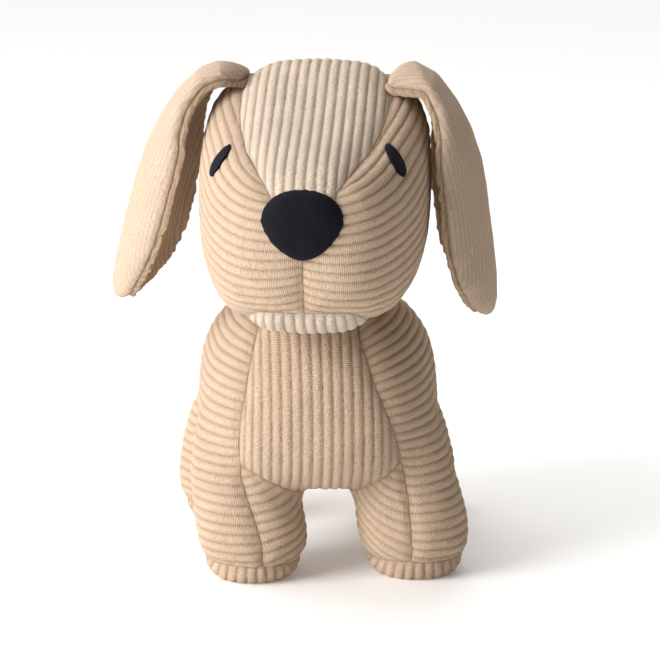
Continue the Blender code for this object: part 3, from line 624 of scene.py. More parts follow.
@dataclass
class StuffedForm:
    """A stuffed part of the dog, from one skin to its sewn panels.

    Attributes:
        name: The form's name.
        body: The frame's body that it rides on.
        panels: Its pattern.
        filling: The frame's nodes that fill it.
        voxel: Size of the first mesh's faces.
        fineness: How many times they are divided.
        easing: Rounds of smoothing of the first mesh.
        turn: The form's own turn about the vertical.
        seam_depth: How far the seams pull in.
        seam_width: How far from a seam the pull is felt.
        crease: How far the panels round down towards their seams.
        pucker: Size of the gathers beside a seam, as a share of the seam's depth.
        swell: How far the filling pushes the cloth out, before the simulation.
        lumps: Height of the lumps in the filling.
        fill: How tightly it is stuffed, from 0 to 1; not used.
        plumpness: Pressure in the cloth simulation, or 0 for none.
        most_swell: The furthest that a point may move in the simulation.
    """

    name: str
    body: str
    panels: list[Panel]
    filling: list[str]
    voxel: float = 3.4 * MM
    fineness: int = 2
    easing: int = 8
    turn: float = 0.0
    seam_depth: float = 1.5 * MM
    seam_width: float = 3.2 * MM
    crease: float = 1.2 * MM
    pucker: float = 0.35
    swell: float = 0.4 * MM
    lumps: float = 0.9 * MM
    fill: float = 0.85
    plumpness: float = 4.0
    most_swell: float = 2.5 * MM
    pieces: dict[str, bpy.types.Object] = field(default_factory=dict)
    surface: BVHTree | None = None

    def build(self, finishes: Finishes) -> None:
        """Makes every panel of the form.

        Args:
            finishes: The dog's materials.
        """
        skin_object = self.one_skin()
        self.measure_panels(skin_object.data)
        if self.plumpness:
            self.plump(skin_object)
        self.refine(skin_object)
        skin = Skin(skin_object.data)
        self.settle_filling(skin)
        self.surface = BVHTree.FromPolygons(skin.points.tolist(), skin.triangles().tolist())
        labels = self.mark_seams(skin_object.data)
        self.sink_seams(skin_object.data, labels)
        self.shape(Skin(skin_object.data))
        self.cut_out(skin_object, labels)
        for panel in self.panels:
            piece = self.pieces[panel.node]
            self.lay_wales(piece, panel)
            self.give_thickness(piece)
            piece.data.materials.clear()
            piece.data.materials.append(finishes.corduroy(panel.cloth.value))
            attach(piece, self.body)
            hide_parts(panel.node)
            LOG.info("%s: %d faces", piece.name, len(piece.data.polygons))

    def one_skin(self) -> bpy.types.Object:
        """The frame's panels and filling made one closed surface.

        Returns:
            The surface, in quads.
        """
        joined = bmesh.new()
        for node in [panel.node for panel in self.panels] + self.filling:
            joined.from_mesh(frame["nodes"][node].data)
        bmesh.ops.remove_doubles(joined, verts=joined.verts[:], dist=0.00001)
        mesh = bpy.data.meshes.new(self.name)
        joined.to_mesh(mesh)
        joined.free()
        obj = link(mesh, self.name)
        remesh = obj.modifiers.new("one_skin", "REMESH")
        remesh.mode = "VOXEL"
        remesh.voxel_size = self.voxel
        apply_modifiers(obj)
        largest_piece(obj.data)
        skin = Skin(obj.data)
        for _ in range(self.easing):
            skin.points = skin.soften(skin.soften(skin.points, 1, 0.5), 1, -0.5)
        skin.write_points()
        skin.points += skin.soften(skin.normals(), 4) * self.swell
        skin.points = skin.soften(skin.soften(skin.points, 2, 0.5), 2, -0.5)
        skin.write_points()
        return obj

    def measure_panels(self, mesh: bpy.types.Mesh) -> None:
        """Stores how far each vertex is from each of the frame's panels."""
        skin = Skin(mesh)
        for number, panel in enumerate(self.panels):
            node = frame["nodes"][panel.node].data
            tree = BVHTree.FromPolygons([v.co for v in node.vertices], [tuple(p.vertices) for p in node.polygons])
            found = [tree.find_nearest(Vector(point))[3] for point in skin.points.tolist()]
            skin.keep(f"to_{number}", skin.soften(np.array(found), 3))

    def nearest_panels(self, skin: Skin) -> tuple[np.ndarray, np.ndarray]:
        """Reads the stored distances.

        Returns:
            The distances to all panels, and each vertex's nearest panel.
        """
        reach = np.stack([skin.kept(f"to_{number}") for number in range(len(self.panels))], axis=1)
        return reach, np.argmin(reach, axis=1)

    def plump(self, obj: bpy.types.Object) -> None:
        """Swells the skin as its filling does, with the seams held.

        Args:
            obj: The skin in quads.
        """
        skin = Skin(obj.data)
        _, labels = self.nearest_panels(skin)
        crossing = labels[skin.edges[:, 0]] != labels[skin.edges[:, 1]]
        held = np.zeros(len(skin.points))
        held[skin.edges[crossing].ravel()] = 1.0
        held = np.maximum(held, skin.soften(held, 1) * 0.8)
        start = skin.points.copy()
        group = obj.vertex_groups.new(name="seams")
        for index in np.nonzero(held > 0.02)[0].tolist():
            group.add([index], float(held[index]), "REPLACE")
        cloth = obj.modifiers.new("filling", "CLOTH")
        cloth.settings.quality = 4
        cloth.settings.mass = 0.2
        cloth.settings.tension_stiffness = 12
        cloth.settings.compression_stiffness = 12
        cloth.settings.shear_stiffness = 6
        cloth.settings.bending_stiffness = 1.5
        cloth.settings.vertex_group_mass = "seams"
        cloth.settings.use_pressure = True
        cloth.settings.uniform_pressure_force = self.plumpness
        cloth.settings.effector_weights.gravity = 0
        cloth.collision_settings.use_collision = False
        scene = bpy.context.scene
        for number in range(1, SIMULATED_FRAMES + 1):
            scene.frame_set(number)
        apply_modifiers(obj)
        scene.frame_set(1)
        obj.vertex_groups.clear()
        skin = Skin(obj.data)
        moved = skin.points - start
        length = np.linalg.norm(moved, axis=1, keepdims=True)
        capped = moved * np.minimum(1.0, self.most_swell / np.maximum(length, 1e-9))
        skin.points = start + skin.soften(capped, 2)
        skin.write_points()

    def refine(self, obj: bpy.types.Object) -> None:
        """Divides the skin's faces smoothly, into triangles about as long as a wale's sixth."""
        divide = obj.modifiers.new("refine", "SUBSURF")
        divide.levels = divide.render_levels = self.fineness
        apply_modifiers(obj)
        form = bmesh.new()
        form.from_mesh(obj.data)
        bmesh.ops.triangulate(form, faces=form.faces[:])
        form.to_mesh(obj.data)
        form.free()

    def mark_seams(self, mesh: bpy.types.Mesh) -> np.ndarray:
        """Moves vertices onto the lines where panels meet, and names each face's panel.

        Args:
            mesh: The fine skin.

        Returns:
            The panel's number for each face.
        """
        skin = Skin(mesh)
        reach, labels = self.nearest_panels(skin)
        first, second = skin.edges[:, 0], skin.edges[:, 1]
        across = np.nonzero(labels[first] != labels[second])[0]
        a, b = first[across], second[across]
        one, two = labels[a], labels[b]
        at_a = reach[a, two] - reach[a, one]
        at_b = reach[b, one] - reach[b, two]
        share = at_a / np.maximum(at_a + at_b, 1e-12)
        place = skin.points[a] + (skin.points[b] - skin.points[a]) * share[:, None]
        moved = np.where(share < 0.5, a, b)
        times, total = skin.sum_of_places(moved, place)
        on_line = times > 0
        skin.points[on_line] = total[on_line] / times[on_line, None]
        skin.write_points()
        skin.keep("on_seam", on_line.astype(float))
        corners = skin.triangles()
        votes = np.zeros((len(corners), len(self.panels)))
        for k in range(3):
            weight = np.where(on_line[corners[:, k]], 0.01, 1.0)
            np.add.at(votes, (np.arange(len(corners)), labels[corners[:, k]]), weight)
        return np.argmax(votes, axis=1)

    def sink_seams(self, mesh: bpy.types.Mesh, labels: np.ndarray) -> None:
        """Pulls the seams in, with small puckers beside them, and stores how near each vertex is to one.

        Args:
            mesh: The fine skin.
            labels: The panel's number for each face.
        """
        skin = Skin(mesh)
        corners = skin.triangles()
        lowest = np.full(len(skin.points), 10**6)
        highest = np.full(len(skin.points), -1)
        for k in range(3):
            np.minimum.at(lowest, corners[:, k], labels)
            np.maximum.at(highest, corners[:, k], labels)
        rim = np.nonzero(lowest != highest)[0]
        tree = KDTree(max(len(rim), 1))
        for index, point in zip(rim.tolist(), skin.points[rim].tolist()):
            tree.insert(point, index)
        tree.balance()
        far = 5 * self.seam_width
        if len(rim):
            away = np.array([tree.find(point)[2] for point in skin.points.tolist()])
        else:
            away = np.full(len(skin.points), far)
        normals = skin.soften(skin.normals(), 6)
        normals /= np.linalg.norm(normals, axis=1, keepdims=True)
        pull = np.exp(-((away / self.seam_width) ** 2)) * 0.55 + np.exp(-away / (0.35 * self.seam_width)) * 0.45
        near = np.nonzero(away < far)[0]
        pucker = np.zeros(len(skin.points))
        pucker[near] = ripple(skin.points[near], PUCKER_SIZE, 3.1)
        pucker *= np.exp(-away / (1.6 * self.seam_width)) * ramp(0.0, 1.5 * MM, away)
        round_down = self.crease * np.exp(-((away / (2.8 * self.seam_width)) ** 2))
        skin.points -= normals * (self.seam_depth * (pull + self.pucker * pucker) + round_down)[:, None]
        skin.write_points()
        skin.keep("outwards", normals)
        skin.keep("seam_distance", away)
        # seam darkens the colour along the seam line in the material: painted shade in the seam's crease.
        skin.keep("seam", np.exp(-away / (0.8 * MM)))

    def settle_filling(self, skin: Skin) -> None:
        """Gives the form the lumps of its filling."""
        lumps = ripple(skin.points, BIG_LUMPS, 7.7) * 0.7 + ripple(skin.points, SMALL_LUMPS, 1.3) * 0.3
        skin.points += skin.soften(skin.normals(), 4) * (lumps * self.lumps)[:, None]
        skin.write_points()

    def shape(self, skin: Skin) -> None:
        """Gives the form what only it has, once its seams are marked."""

    def cut_out(self, obj: bpy.types.Object, labels: np.ndarray) -> None:
        """Separates the skin into one object for each panel.

        Args:
            obj: The fine skin.
            labels: The panel's number for each face.
        """
        obj.data.materials.clear()
        for panel in self.panels:
            obj.data.materials.append(bpy.data.materials.new(panel.node))
        obj.data.polygons.foreach_set("material_index", labels.astype(np.int32))
        for name in [layer.name for layer in obj.data.attributes if layer.name.startswith("to_")]:
            obj.data.attributes.remove(obj.data.attributes[name])
        before = set(bpy.data.objects)
        bpy.context.view_layer.objects.active = obj
        for other in bpy.context.selected_objects:
            other.select_set(False)
        obj.select_set(True)
        bpy.ops.object.mode_set(mode="EDIT")
        bpy.ops.mesh.select_all(action="SELECT")
        bpy.ops.mesh.separate(type="MATERIAL")
        bpy.ops.object.mode_set(mode="OBJECT")
        for piece in [obj] + [other for other in bpy.data.objects if other not in before]:
            number = np.empty(len(piece.data.polygons), np.int32)
            piece.data.polygons.foreach_get("material_index", number)
            material = piece.data.materials[int(np.bincount(number).argmax())]
            self.pieces[material.name] = piece
        for node, piece in self.pieces.items():
            piece.name = f"{node}_cloth"
            piece.data.name = piece.name

    def counting_direction(self, panel: Panel, points: np.ndarray, normals: np.ndarray) -> np.ndarray:
        """The direction along the surface in which a panel's wales are counted, at each vertex.

        Args:
            panel: The panel.
            points: The vertices' places.
            normals: The vertices' normals.

        Returns:
            A vector in the surface for each vertex, short where the pattern gives no clear direction.
        """
        cos, sin = math.cos(self.turn), math.sin(self.turn)
        right, back, up = np.array((cos, sin, 0.0)), np.array((-sin, cos, 0.0)), np.array((0.0, 0.0, 1.0))
        if panel.count is Count.ACROSS:
            wanted = np.tile(right + panel.slant * up, (len(points), 1))
        else:
            wanted = np.tile(up + panel.slant * right * panel.side - panel.droop * back, (len(points), 1))
            if panel.side:
                wanted = wanted + 0.8 * panel.side * np.cross(normals, back)
        return wanted - normals * np.sum(wanted * normals, axis=1, keepdims=True)

    def lay_wales(self, piece: bpy.types.Object, panel: Panel) -> None:
        """Counts the wales over a panel and presses the valleys between them.

        Args:
            piece: The panel's object.
            panel: Its pattern.
        """
        cloth = panel.cloth.value
        skin = Skin(piece.data)
        normals = skin.kept("outwards")
        wanted = self.counting_direction(panel, skin.points, normals)
        strength = np.linalg.norm(wanted, axis=1)
        unit = wanted / np.maximum(strength, 1e-6)[:, None]
        first, second = skin.edges[:, 0], skin.edges[:, 1]
        along = skin.points[second] - skin.points[first]
        weights = np.clip(np.minimum(strength[first], strength[second]), 0.03, 1.0)
        guess = skin.points @ wanted.mean(axis=0)
        count = skin.counted(np.sum((unit[first] + unit[second]) * along, axis=1) / 2, weights, guess, COUNTING_ROUNDS)
        square = np.cross(normals, unit)
        guess = skin.points @ square.mean(axis=0)
        run = skin.counted(np.sum((square[first] + square[second]) * along, axis=1) / 2, weights, guess, RUN_ROUNDS)
        phase = count / cloth.pitch
        phase -= np.median(phase[np.abs(skin.points[:, 0]) < 3 * MM]) if panel.side == 0 else 0.0
        phase = self.snap_valleys(skin, phase)
        part = phase - np.floor(phase)
        nap = np.sin(np.pi * part) ** cloth.sharpness
        away = skin.kept("seam_distance")
        fade = 0.35 + 0.65 * ramp(0.0, 2.5 * MM, away)
        uneven = 1.0 + 0.25 * ripple(skin.points, UNEVEN_DEPTH, 5.0)
        normals = skin.kept("outwards")
        skin.points -= normals * (cloth.depth * (1 - nap) * fade * uneven)[:, None]
        skin.points[:, 2] = np.maximum(skin.points[:, 2], 0.0)
        skin.write_points()
        # nap also picks the darker valley colour in the material: partly painted shade between the wales.
        skin.keep("nap", nap)
        self.store_grain(skin, phase, run / cloth.pitch)

    @staticmethod
    def snap_valleys(skin: Skin, phase: np.ndarray) -> np.ndarray:
        """Moves the vertices beside each valley onto it, so that the valleys are clean lines.

        Args:
            skin: The panel.
            phase: The count of wales at each vertex, whole in the valleys.

        Returns:
            The count after the move.
        """
        first, second = skin.edges[:, 0], skin.edges[:, 1]
        low = np.minimum(phase[first], phase[second])
        high = np.maximum(phase[first], phase[second])
        across = np.nonzero(np.floor(low) != np.floor(high))[0]
        a, b = first[across], second[across]
        line = np.ceil(low[across])
        share = (line - phase[a]) / np.where(np.abs(phase[b] - phase[a]) < 1e-9, 1e-9, phase[b] - phase[a])
        moved = np.where(share < 0.5, a, b)
        place = skin.points[a] + (skin.points[b] - skin.points[a]) * share[:, None]
        times, total = skin.sum_of_places(moved, place)
        line_sum = np.bincount(moved, line, len(skin.points))
        hit = (times > 0) & (skin.kept("seam_distance") > 0.3 * MM)
        skin.points[hit] = total[hit] / times[hit, None]
        phase = phase.copy()
        phase[hit] = line_sum[hit] / times[hit]
        return phase

    @staticmethod
    def store_grain(skin: Skin, across: np.ndarray, along: np.ndarray) -> None:
        """Stores the count of wales and the run along them as a UV map, in wales.

        Args:
            skin: The panel.
            across: The count at each vertex.
            along: The run at each vertex.
        """
        layer = skin.mesh.uv_layers.new(name="grain")
        corners = skin.triangles().ravel()
        values = np.stack([across[corners], along[corners]], axis=1).astype(np.float32)
        layer.data.foreach_set("uv", values.ravel())

    @staticmethod
    def give_thickness(piece: bpy.types.Object) -> None:
        """Closes a panel with an inner face and turned-in edges."""
        form = bmesh.new()
        form.from_mesh(piece.data)
        outwards = form.verts.layers.float_vector["outwards"]
        outer = form.faces[:]
        made = bmesh.ops.extrude_face_region(form, geom=outer, use_keep_orig=True)["geom"]
        for vert in (item for item in made if isinstance(item, bmesh.types.BMVert)):
            vert.co -= vert[outwards] * CLOTH_THICKNESS
        kept = set(outer)
        sides = [face for face in form.faces if face not in kept and len(face.verts) == 4]
        bmesh.ops.triangulate(form, faces=sides)
        bmesh.ops.recalc_face_normals(form, faces=form.faces[:])
        if form.calc_volume(signed=True) < 0:
            bmesh.ops.reverse_faces(form, faces=form.faces[:])
        form.to_mesh(piece.data)
        form.free()
        piece.data.shade_smooth()


@dataclass
class EarForm(StuffedForm):
    """An ear, whose lining lies deeper than its rolled edge and whose root is sewn into the head.

    Attributes:
        curl: How far the long edges curl in towards the head.
        hollow: How far the lining lies below the rolled edge.
        root_reach: How long a piece at the root bends down to the head.
        root_dip: How far its end goes towards the head and down.
    """

    curl: float = 6.5 * MM
    hollow: float = 3.0 * MM
    root_reach: float = 11 * MM
    root_dip: tuple[float, float] = (6 * MM, 4.5 * MM)

    def shape(self, skin: Skin) -> None:
        """Sinks the lining, curls the long edges in and bends the root to the head.

        Args:
            skin: The fine skin.
        """
        _, labels = self.nearest_panels(skin)
        away = skin.kept("seam_distance")
        sink = (labels == 1) * ramp(3.0 * MM, 8.0 * MM, away) * self.hollow
        skin.points -= skin.kept("outwards") * sink[:, None]
        low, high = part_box(self.panels[0].node)
        side = self.panels[0].side
        root = low.x if side > 0 else high.x
        share = ramp(0.0, 1.0, 1 - side * (skin.points[:, 0] - root) / self.root_reach)
        middle = (low.y + high.y) / 2
        across = (skin.points[:, 1] - middle) / ((high.y - low.y) / 2)
        below = ramp(12 * MM, 50 * MM, high.z - skin.points[:, 2])
        skin.points[:, 0] -= side * below * self.curl * (across**2 - 0.2 * across)
        skin.points[:, 0] -= side * share * self.root_dip[0]
        skin.points[:, 1] = middle + (skin.points[:, 1] - middle) * (1 - 0.22 * share)
        skin.points[:, 2] -= share * self.root_dip[1]
        skin.write_points()


# ---------------------------------------------------------------- embroidery


@dataclass(frozen=True)
class Embroidery:
    """A raised patch of stitches on the head.

    Attributes:
        node: The frame's node that it stands for.
        half_width: Half its width.
        above: How far it reaches above its middle.
        below: How far it reaches below it.
        powers: How round its outline is above and below: 2 is an ellipse, and less is more pointed.
        lean: How far its top leans towards the crown.
        dome: How much higher its middle is than its edge.
        raised: How much higher it sits than the frame's.
        fan: Where the stitches' lines meet, below its middle, as a multiple of its height below.
        stitch: The width of one line of stitches.
        fineness: How many faces it has along each side.
    """

    node: str
    half_width: float
    above: float
    below: float
    powers: tuple[float, float]
    lean: float
    dome: float
    fan: float
    raised: float = 0.0
    stitch: float = 0.85 * MM
    fineness: int = 110

    def reach(self, angle: np.ndarray) -> np.ndarray:
        """How far the outline is from its middle.

        Args:
            angle: Directions, counted from across towards the top.

        Returns:
            The distances.
        """
        across, up = np.abs(np.cos(angle)) / self.half_width, np.sin(angle)
        top = up > 0
        power = np.where(top, self.powers[0], self.powers[1])
        rise = np.abs(up) / np.where(top, self.above, self.below)
        low, high = np.zeros_like(angle), np.full_like(angle, 3 * max(self.above, self.below, self.half_width))
        for _ in range(30):
            middle = (low + high) / 2
            inside = (across * middle) ** ((power + 2) / 2) + (rise * middle) ** power < 1
            low, high = np.where(inside, middle, low), np.where(inside, high, middle)
        return low

    def build(self, finishes: Finishes, surface: BVHTree, turn: float) -> bpy.types.Object:
        """Stitches the patch onto the head.

        Args:
            finishes: The dog's materials.
            surface: The head without its wales.
            turn: The head's turn.

        Returns:
            The patch.
        """
        low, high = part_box(self.node)
        middle = (low + high) / 2
        if "nose" in self.node:
            middle.z = high.z - (high.z - low.z) * self.above / (self.above + self.below)
        middle.z += self.raised
        place = surface.find_nearest(middle)[0]
        side = 1 if "left" in self.node else -1 if "right" in self.node else 0
        across = Vector((math.cos(turn), math.sin(turn), 0))
        out = (Vector((math.sin(turn), -math.cos(turn), 0.0)) + across * side * 0.35).normalized()
        up = Vector((0, 0, 1)) * math.cos(self.lean) - across * side * math.sin(self.lean)
        up = (up - out * up.dot(out)).normalized()
        right = up.cross(out)
        form = bmesh.new()
        bmesh.ops.create_grid(form, x_segments=self.fineness, y_segments=self.fineness, size=1)
        outwards = form.verts.layers.float_vector.new("outwards")
        square = np.array([vert.co[:2] for vert in form.verts])
        share = np.max(np.abs(square), axis=1)
        angle = np.arctan2(square[:, 1], square[:, 0])
        flat = (share * self.reach(angle))[:, None] * np.stack([np.cos(angle), np.sin(angle)], axis=1)
        apex = self.fan * self.below
        bearing = np.arctan2(flat[:, 0], flat[:, 1] + apex) * (apex + self.above) / self.stitch
        row = np.stack([np.round(bearing), np.sign(flat[:, 1]) * 7, bearing * 0], axis=1)
        ends = ripple(row * 1.37, 1.0, 2.0) * 0.25 * MM
        length = np.linalg.norm(flat, axis=1, keepdims=True)
        flat += flat / np.maximum(length, 1e-6) * (ends * share**4)[:, None]
        ridge = np.abs(np.cos(math.pi * bearing)) ** 0.7
        fuzz = ripple(np.concatenate([flat, flat[:, :1]], axis=1), 1.3 * MM, 4.0)
        height = 1.0 * MM + self.dome * np.maximum(1 - share**2, 0) ** 0.6
        height += (0.16 * ridge + 0.22 * fuzz) * MM * (1 - share**6) - 2.0 * MM * share**12
        for vert, (a, b), lift in zip(form.verts, flat.tolist(), height.tolist()):
            start = place + right * a + up * b + out * 0.03
            hit = surface.ray_cast(start, -out)[0]
            vert.co = (hit or start - out * 0.03) + out * lift
            vert[outwards] = out
        bmesh.ops.triangulate(form, faces=form.faces[:])
        mesh = bpy.data.meshes.new(f"{self.node}_embroidery")
        form.to_mesh(mesh)
        form.free()
        piece = link(mesh, mesh.name)
        StuffedForm.give_thickness(piece)
        piece.data.materials.append(finishes.thread())
        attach(piece, "head")
        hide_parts(self.node)
        return piece


# ---------------------------------------------------------------- filling and label


@dataclass(frozen=True)
class Filling:
    """A wad of fibre, a little smaller and lumpier than the frame's.

    Attributes:
        node: The frame's node that it stands for.
        body: The body that it rides on.
        covered: Whether it is sewn into the body's cloth, as the neck's is.
    """

    node: str
    body: str
    covered: bool = False

    def build(self, finishes: Finishes) -> None:
        """Makes the wad.

        Args:
            finishes: The dog's materials.
        """
        low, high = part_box(self.node)
        voxel = 2.2 * MM if "padding" in self.node else 4 * MM
        obj = link(frame["nodes"][self.node].data.copy(), f"{self.node}_fibre")
        remesh = obj.modifiers.new("one_skin", "REMESH")
        remesh.mode = "VOXEL"
        remesh.voxel_size = voxel if (high - low).length > 0.04 else 2 * MM
        obj.modifiers.new("triangles", "TRIANGULATE")
        apply_modifiers(obj)
        largest_piece(obj.data)
        skin = Skin(obj.data)
        skin.points = skin.soften(skin.points, 2)
        skin.write_points()
        lumps = 0.5 + 0.5 * ripple(skin.points, FIBRE_LUMPS, 6.1)
        skin.points -= skin.normals() * (lumps * FIBRE_SLACK)[:, None]
        skin.write_points()
        obj.data.materials.clear()
        cloth = Cloth.BODY.value
        if self.covered:
            around = np.arctan2(skin.points[:, 1], skin.points[:, 0]) * NECK_RADIUS / cloth.pitch
            height = skin.points[:, 2] / cloth.pitch
            # nap picks the darker valley colour of the neck's corduroy: partly painted shade between the wales.
            skin.keep("nap", np.abs(np.sin(np.pi * height)) ** cloth.sharpness)
            StuffedForm.store_grain(skin, height, around)
            obj.data.materials.append(finishes.corduroy(cloth))
        else:
            obj.data.materials.append(finishes.fibre())
        obj.data.shade_smooth()
        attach(obj, self.body)
        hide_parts(self.node)


@dataclass(frozen=True)
class Label:
    """A blank woven tape, folded in half, with its ends caught in a seam.

    Attributes:
        width: The tape's width.
        length: How far it hangs, which is half its cut length.
        gap: The space between its two layers at the fold.
        thickness: The tape's thickness.
    """

    width: float = 17 * MM
    length: float = 27 * MM
    gap: float = 1.1 * MM
    thickness: float = 0.28 * MM

    def build(self, finishes: Finishes) -> None:
        """Folds the tape and hangs it from the seam.

        Args:
            finishes: The dog's materials.
        """
        low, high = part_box("care_label")
        slope = Vector((0, low.y - high.y, high.z - low.z)).normalized()
        top = Vector(((low.x + high.x) / 2, (low.y + high.y) / 2, (low.z + high.z) / 2)) + slope * self.length / 2
        out = Vector((0, 1, 0)) - slope * slope.y
        out.normalize()
        radius = self.gap / 2
        straight = self.length - radius
        whole = 2 * straight + math.pi * radius
        form = bmesh.new()
        bmesh.ops.create_grid(form, x_segments=8, y_segments=72, size=1)
        for vert in form.verts:
            run = (vert.co.y + 1) / 2 * whole
            across = vert.co.x * self.width / 2
            if run < straight:
                down, away = run, radius
            elif run > whole - straight:
                down, away = whole - run, -radius
            else:
                angle = (run - straight) / radius
                down, away = straight + radius * math.sin(angle), radius * math.cos(angle)
            pinch = math.exp(-down / (4 * MM))
            away = away * (1 - 0.6 * pinch) + 0.9 * MM * math.sin(down / self.length * 2.6) * (vert.co.x * 0.7 + 0.4)
            vert.co = top + Vector((across * (1 - 0.03 * pinch), 0, 0)) - slope * down + out * away
        mesh = bpy.data.meshes.new("care_label_tape")
        form.to_mesh(mesh)
        form.free()
        piece = link(mesh, "care_label_tape")
        solid = piece.modifiers.new("thickness", "SOLIDIFY")
        solid.thickness = self.thickness
        solid.offset = 0
        apply_modifiers(piece)
        piece.data.shade_smooth()
        piece.data.materials.append(finishes.tape())
        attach(piece, "torso")
        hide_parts("care_label")


# ---------------------------------------------------------------- the dog's forms


def torso() -> StuffedForm:
    """The trunk and legs: two sides with the outer legs, chest, belly, inner legs and soles."""
    panels = [
        Panel("body_side_left", Cloth.BODY, Count.UP),
        Panel("body_side_right", Cloth.BODY, Count.UP),
        Panel("chest_gusset", Cloth.BODY, Count.ACROSS),
        Panel("belly_gusset", Cloth.BODY, Count.ACROSS),
    ]
    filling = ["torso_stuffing", "neck_stuffing"]
    for end in ("front", "rear"):
        for side in ("left", "right"):
            panels.append(Panel(f"inner_leg_{end}_{side}", Cloth.BODY, Count.UP, 0.2))
            panels.append(Panel(f"sole_{end}_{side}", Cloth.BODY, Count.ACROSS))
            filling.append(f"leg_stuffing_{end}_{side}")
    return StuffedForm("torso", "torso", panels, filling)


def head() -> StuffedForm:
    """The head: crown strip, two sides and the chin."""
    panels = [
        # The crown and chin strips take the body's corduroy painted lighter: painted light.
        Panel("crown_gusset", Cloth.CROWN, Count.ACROSS),
        Panel("head_side_left", Cloth.BODY, Count.UP, droop=0.42),
        Panel("head_side_right", Cloth.BODY, Count.UP, droop=0.42),
        Panel("chin_gusset", Cloth.CROWN, Count.ACROSS),
    ]
    return StuffedForm("head", "head", panels, ["head_stuffing"], voxel=3.0 * MM, turn=HEAD_TURN, crease=1.8 * MM)


def ear(side: str) -> StuffedForm:
    """An ear: a velour outside, a lining and thin padding between them.

    Args:
        side: left or right.

    Returns:
        The form.
    """
    panels = [
        Panel(f"ear_{side}_outer", Cloth.EAR_OUTER, Count.ACROSS),
        Panel(f"ear_{side}_inner", Cloth.EAR_INNER, Count.ACROSS),
    ]
    return EarForm(
        f"ear_{side}", f"ear_{side}", panels, [f"ear_{side}_padding"], voxel=1.3 * MM, fineness=1, easing=30,
        turn=HEAD_TURN + math.pi / 2, seam_depth=1.5 * MM, seam_width=2.0 * MM, crease=0.0, pucker=0.6, swell=2.5 * MM,
        lumps=0.7 * MM, fill=0.5, plumpness=0.0)


def tail() -> StuffedForm:
    """The tail: two cover panels on a stuffed roll."""
    panels = [
        Panel("tail_cover_left", Cloth.BODY, Count.UP),
        Panel("tail_cover_right", Cloth.BODY, Count.UP),
    ]
    return StuffedForm(
        "tail", "tail", panels, ["tail_stuffing"], voxel=2.4 * MM, easing=6, seam_depth=0.9 * MM,
        seam_width=2.0 * MM, crease=0.4 * MM, plumpness=0.0)


# ---------------------------------------------------------------- set


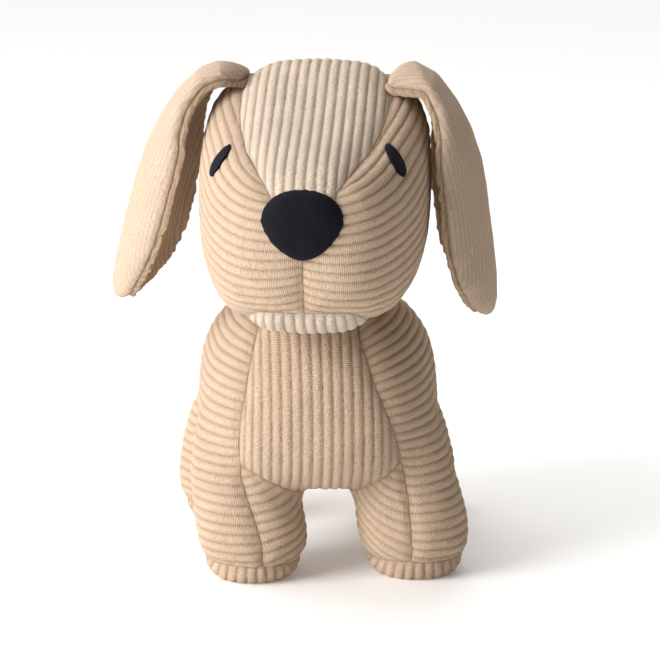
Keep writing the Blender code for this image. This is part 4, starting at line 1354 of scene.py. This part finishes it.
@dataclass
class Studio:
    """A pale floor, soft light and the camera.

    Attributes:
        azimuth: The camera's turn about the dog, in degrees.
        elevation: Its height above the level, in degrees.
        distance: From the point that it looks at.
        lens: In millimetres, on a sensor 36 mm wide.
    """

    azimuth: float = -4.5
    elevation: float = 13.0
    distance: float = 1.7
    lens: float = 178.3

    def build(self) -> None:
        """Makes the floor, the lights and the camera."""
        self.floor()
        self.light("key", (-1.6, -0.85, 0.8), 1.2, 46.0)
        self.light("top", (-0.3, 0.5, 1.7), 1.2, 6.0)
        world = bpy.data.worlds.new("white_room")
        world.use_nodes = True
        self.room(NodeMaker(world.node_tree), world.node_tree.nodes["Background"])
        bpy.context.scene.world = world
        bpy.context.scene.view_settings.view_transform = "Standard"
        self.camera()

    @staticmethod
    def room(maker: NodeMaker, background: bpy.types.Node) -> None:
        """A white room that is dimmer on the side away from the window.

        Args:
            maker: Adds nodes to the world's tree.
            background: The world's shader.
        """
        way = maker.add("TexCoord").outputs["Generated"]
        facing = maker.add("VectorMath", {0: way, 1: (0.8, -0.6, 0.0)}, operation="DOT_PRODUCT").outputs["Value"]
        dim = maker.add("MapRange", {"Value": facing, "From Min": -0.45, "From Max": 0.5,
                                     "To Min": 1.3, "To Max": 0.16})
        maker.link(dim.outputs["Result"], background.inputs["Strength"])
        warmth = maker.add("MapRange", {"Value": facing, "From Min": -0.1, "From Max": 0.5})
        maker.link(maker.blend(warmth.outputs["Result"], (1, 1, 1, 1), (1, 0.9, 0.74, 1)), background.inputs["Color"])

    def floor(self) -> None:
        """A plain white floor that the dog stands on."""
        form = bmesh.new()
        bmesh.ops.create_grid(form, x_segments=1, y_segments=1, size=6.0)
        mesh = bpy.data.meshes.new("floor")
        form.to_mesh(mesh)
        form.free()
        material = bpy.data.materials.new("white_floor")
        material.use_nodes = True
        shader = material.node_tree.nodes["Principled BSDF"]
        shader.inputs["Base Color"].default_value = (0.97, 0.97, 0.97, 1)
        shader.inputs["Roughness"].default_value = 0.6
        shader.inputs["Emission Color"].default_value = (1, 1, 1, 1)
        shader.inputs["Emission Strength"].default_value = 0.1
        mesh.materials.append(material)
        link(mesh, "floor")

    def light(self, name: str, place: tuple[float, float, float], size: float, power: float) -> None:
        """A square lamp that points at the dog.

        Args:
            name: The lamp's name.
            place: Where it hangs.
            size: The length of its side.
            power: In watts.
        """
        lamp = bpy.data.lights.new(name, "AREA")
        lamp.size = size
        lamp.energy = power
        obj = bpy.data.objects.new(name, lamp)
        bpy.context.scene.collection.objects.link(obj)
        obj.location = place
        obj.rotation_euler = (Vector(place) - Vector((0, 0, 0.12))).to_track_quat("Z", "Y").to_euler()

    def camera(self) -> None:
        """The camera, level with the dog's brow and a little to its right."""
        turn, rise = math.radians(self.azimuth), math.radians(self.elevation)
        back = Vector((math.sin(turn) * math.cos(rise), -math.cos(turn) * math.cos(rise), math.sin(rise)))
        low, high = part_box("neck_stuffing")
        middle = (low + high) / 2
        target = Vector((middle.x + 6.7 * MM, middle.y + 10 * MM, 0.123))
        camera = bpy.data.cameras.new("camera")
        camera.lens = self.lens
        camera.sensor_width = 36
        camera.clip_start = 0.05
        obj = bpy.data.objects.new("camera", camera)
        bpy.context.scene.collection.objects.link(obj)
        obj.location = target + back * self.distance
        obj.rotation_euler = back.to_track_quat("Z", "Y").to_euler()
        bpy.context.scene.camera = obj


def main() -> None:
    """Builds the dog's looks piece by piece."""
    logging.basicConfig(level=logging.INFO, format="%(name)s: %(message)s")
    Studio().build()
    finishes = Finishes()
    face = head()
    for form in (torso(), face, ear("left"), ear("right"), tail()):
        form.build(finishes)
        for node in form.filling:
            if node != "neck_stuffing":
                Filling(node, form.body).build(finishes)
    Filling("neck_stuffing", "neck", covered=True).build(finishes)
    for patch in (
        Embroidery("nose", 20.2 * MM, 16.0 * MM, 18.5 * MM, (2.1, 1.45), 0.0, 2.6 * MM, 2.2),
        Embroidery("eye_left", *EYE_SIZE, math.radians(26), 0.7 * MM, 5.0, 3.5 * MM, fineness=44),
        Embroidery("eye_right", *EYE_SIZE, math.radians(28), 0.7 * MM, 5.0, 1.2 * MM, fineness=44),
    ):
        patch.build(finishes, face.surface, face.turn)
    Label().build(finishes)


if __name__ == "__main__":
    main()
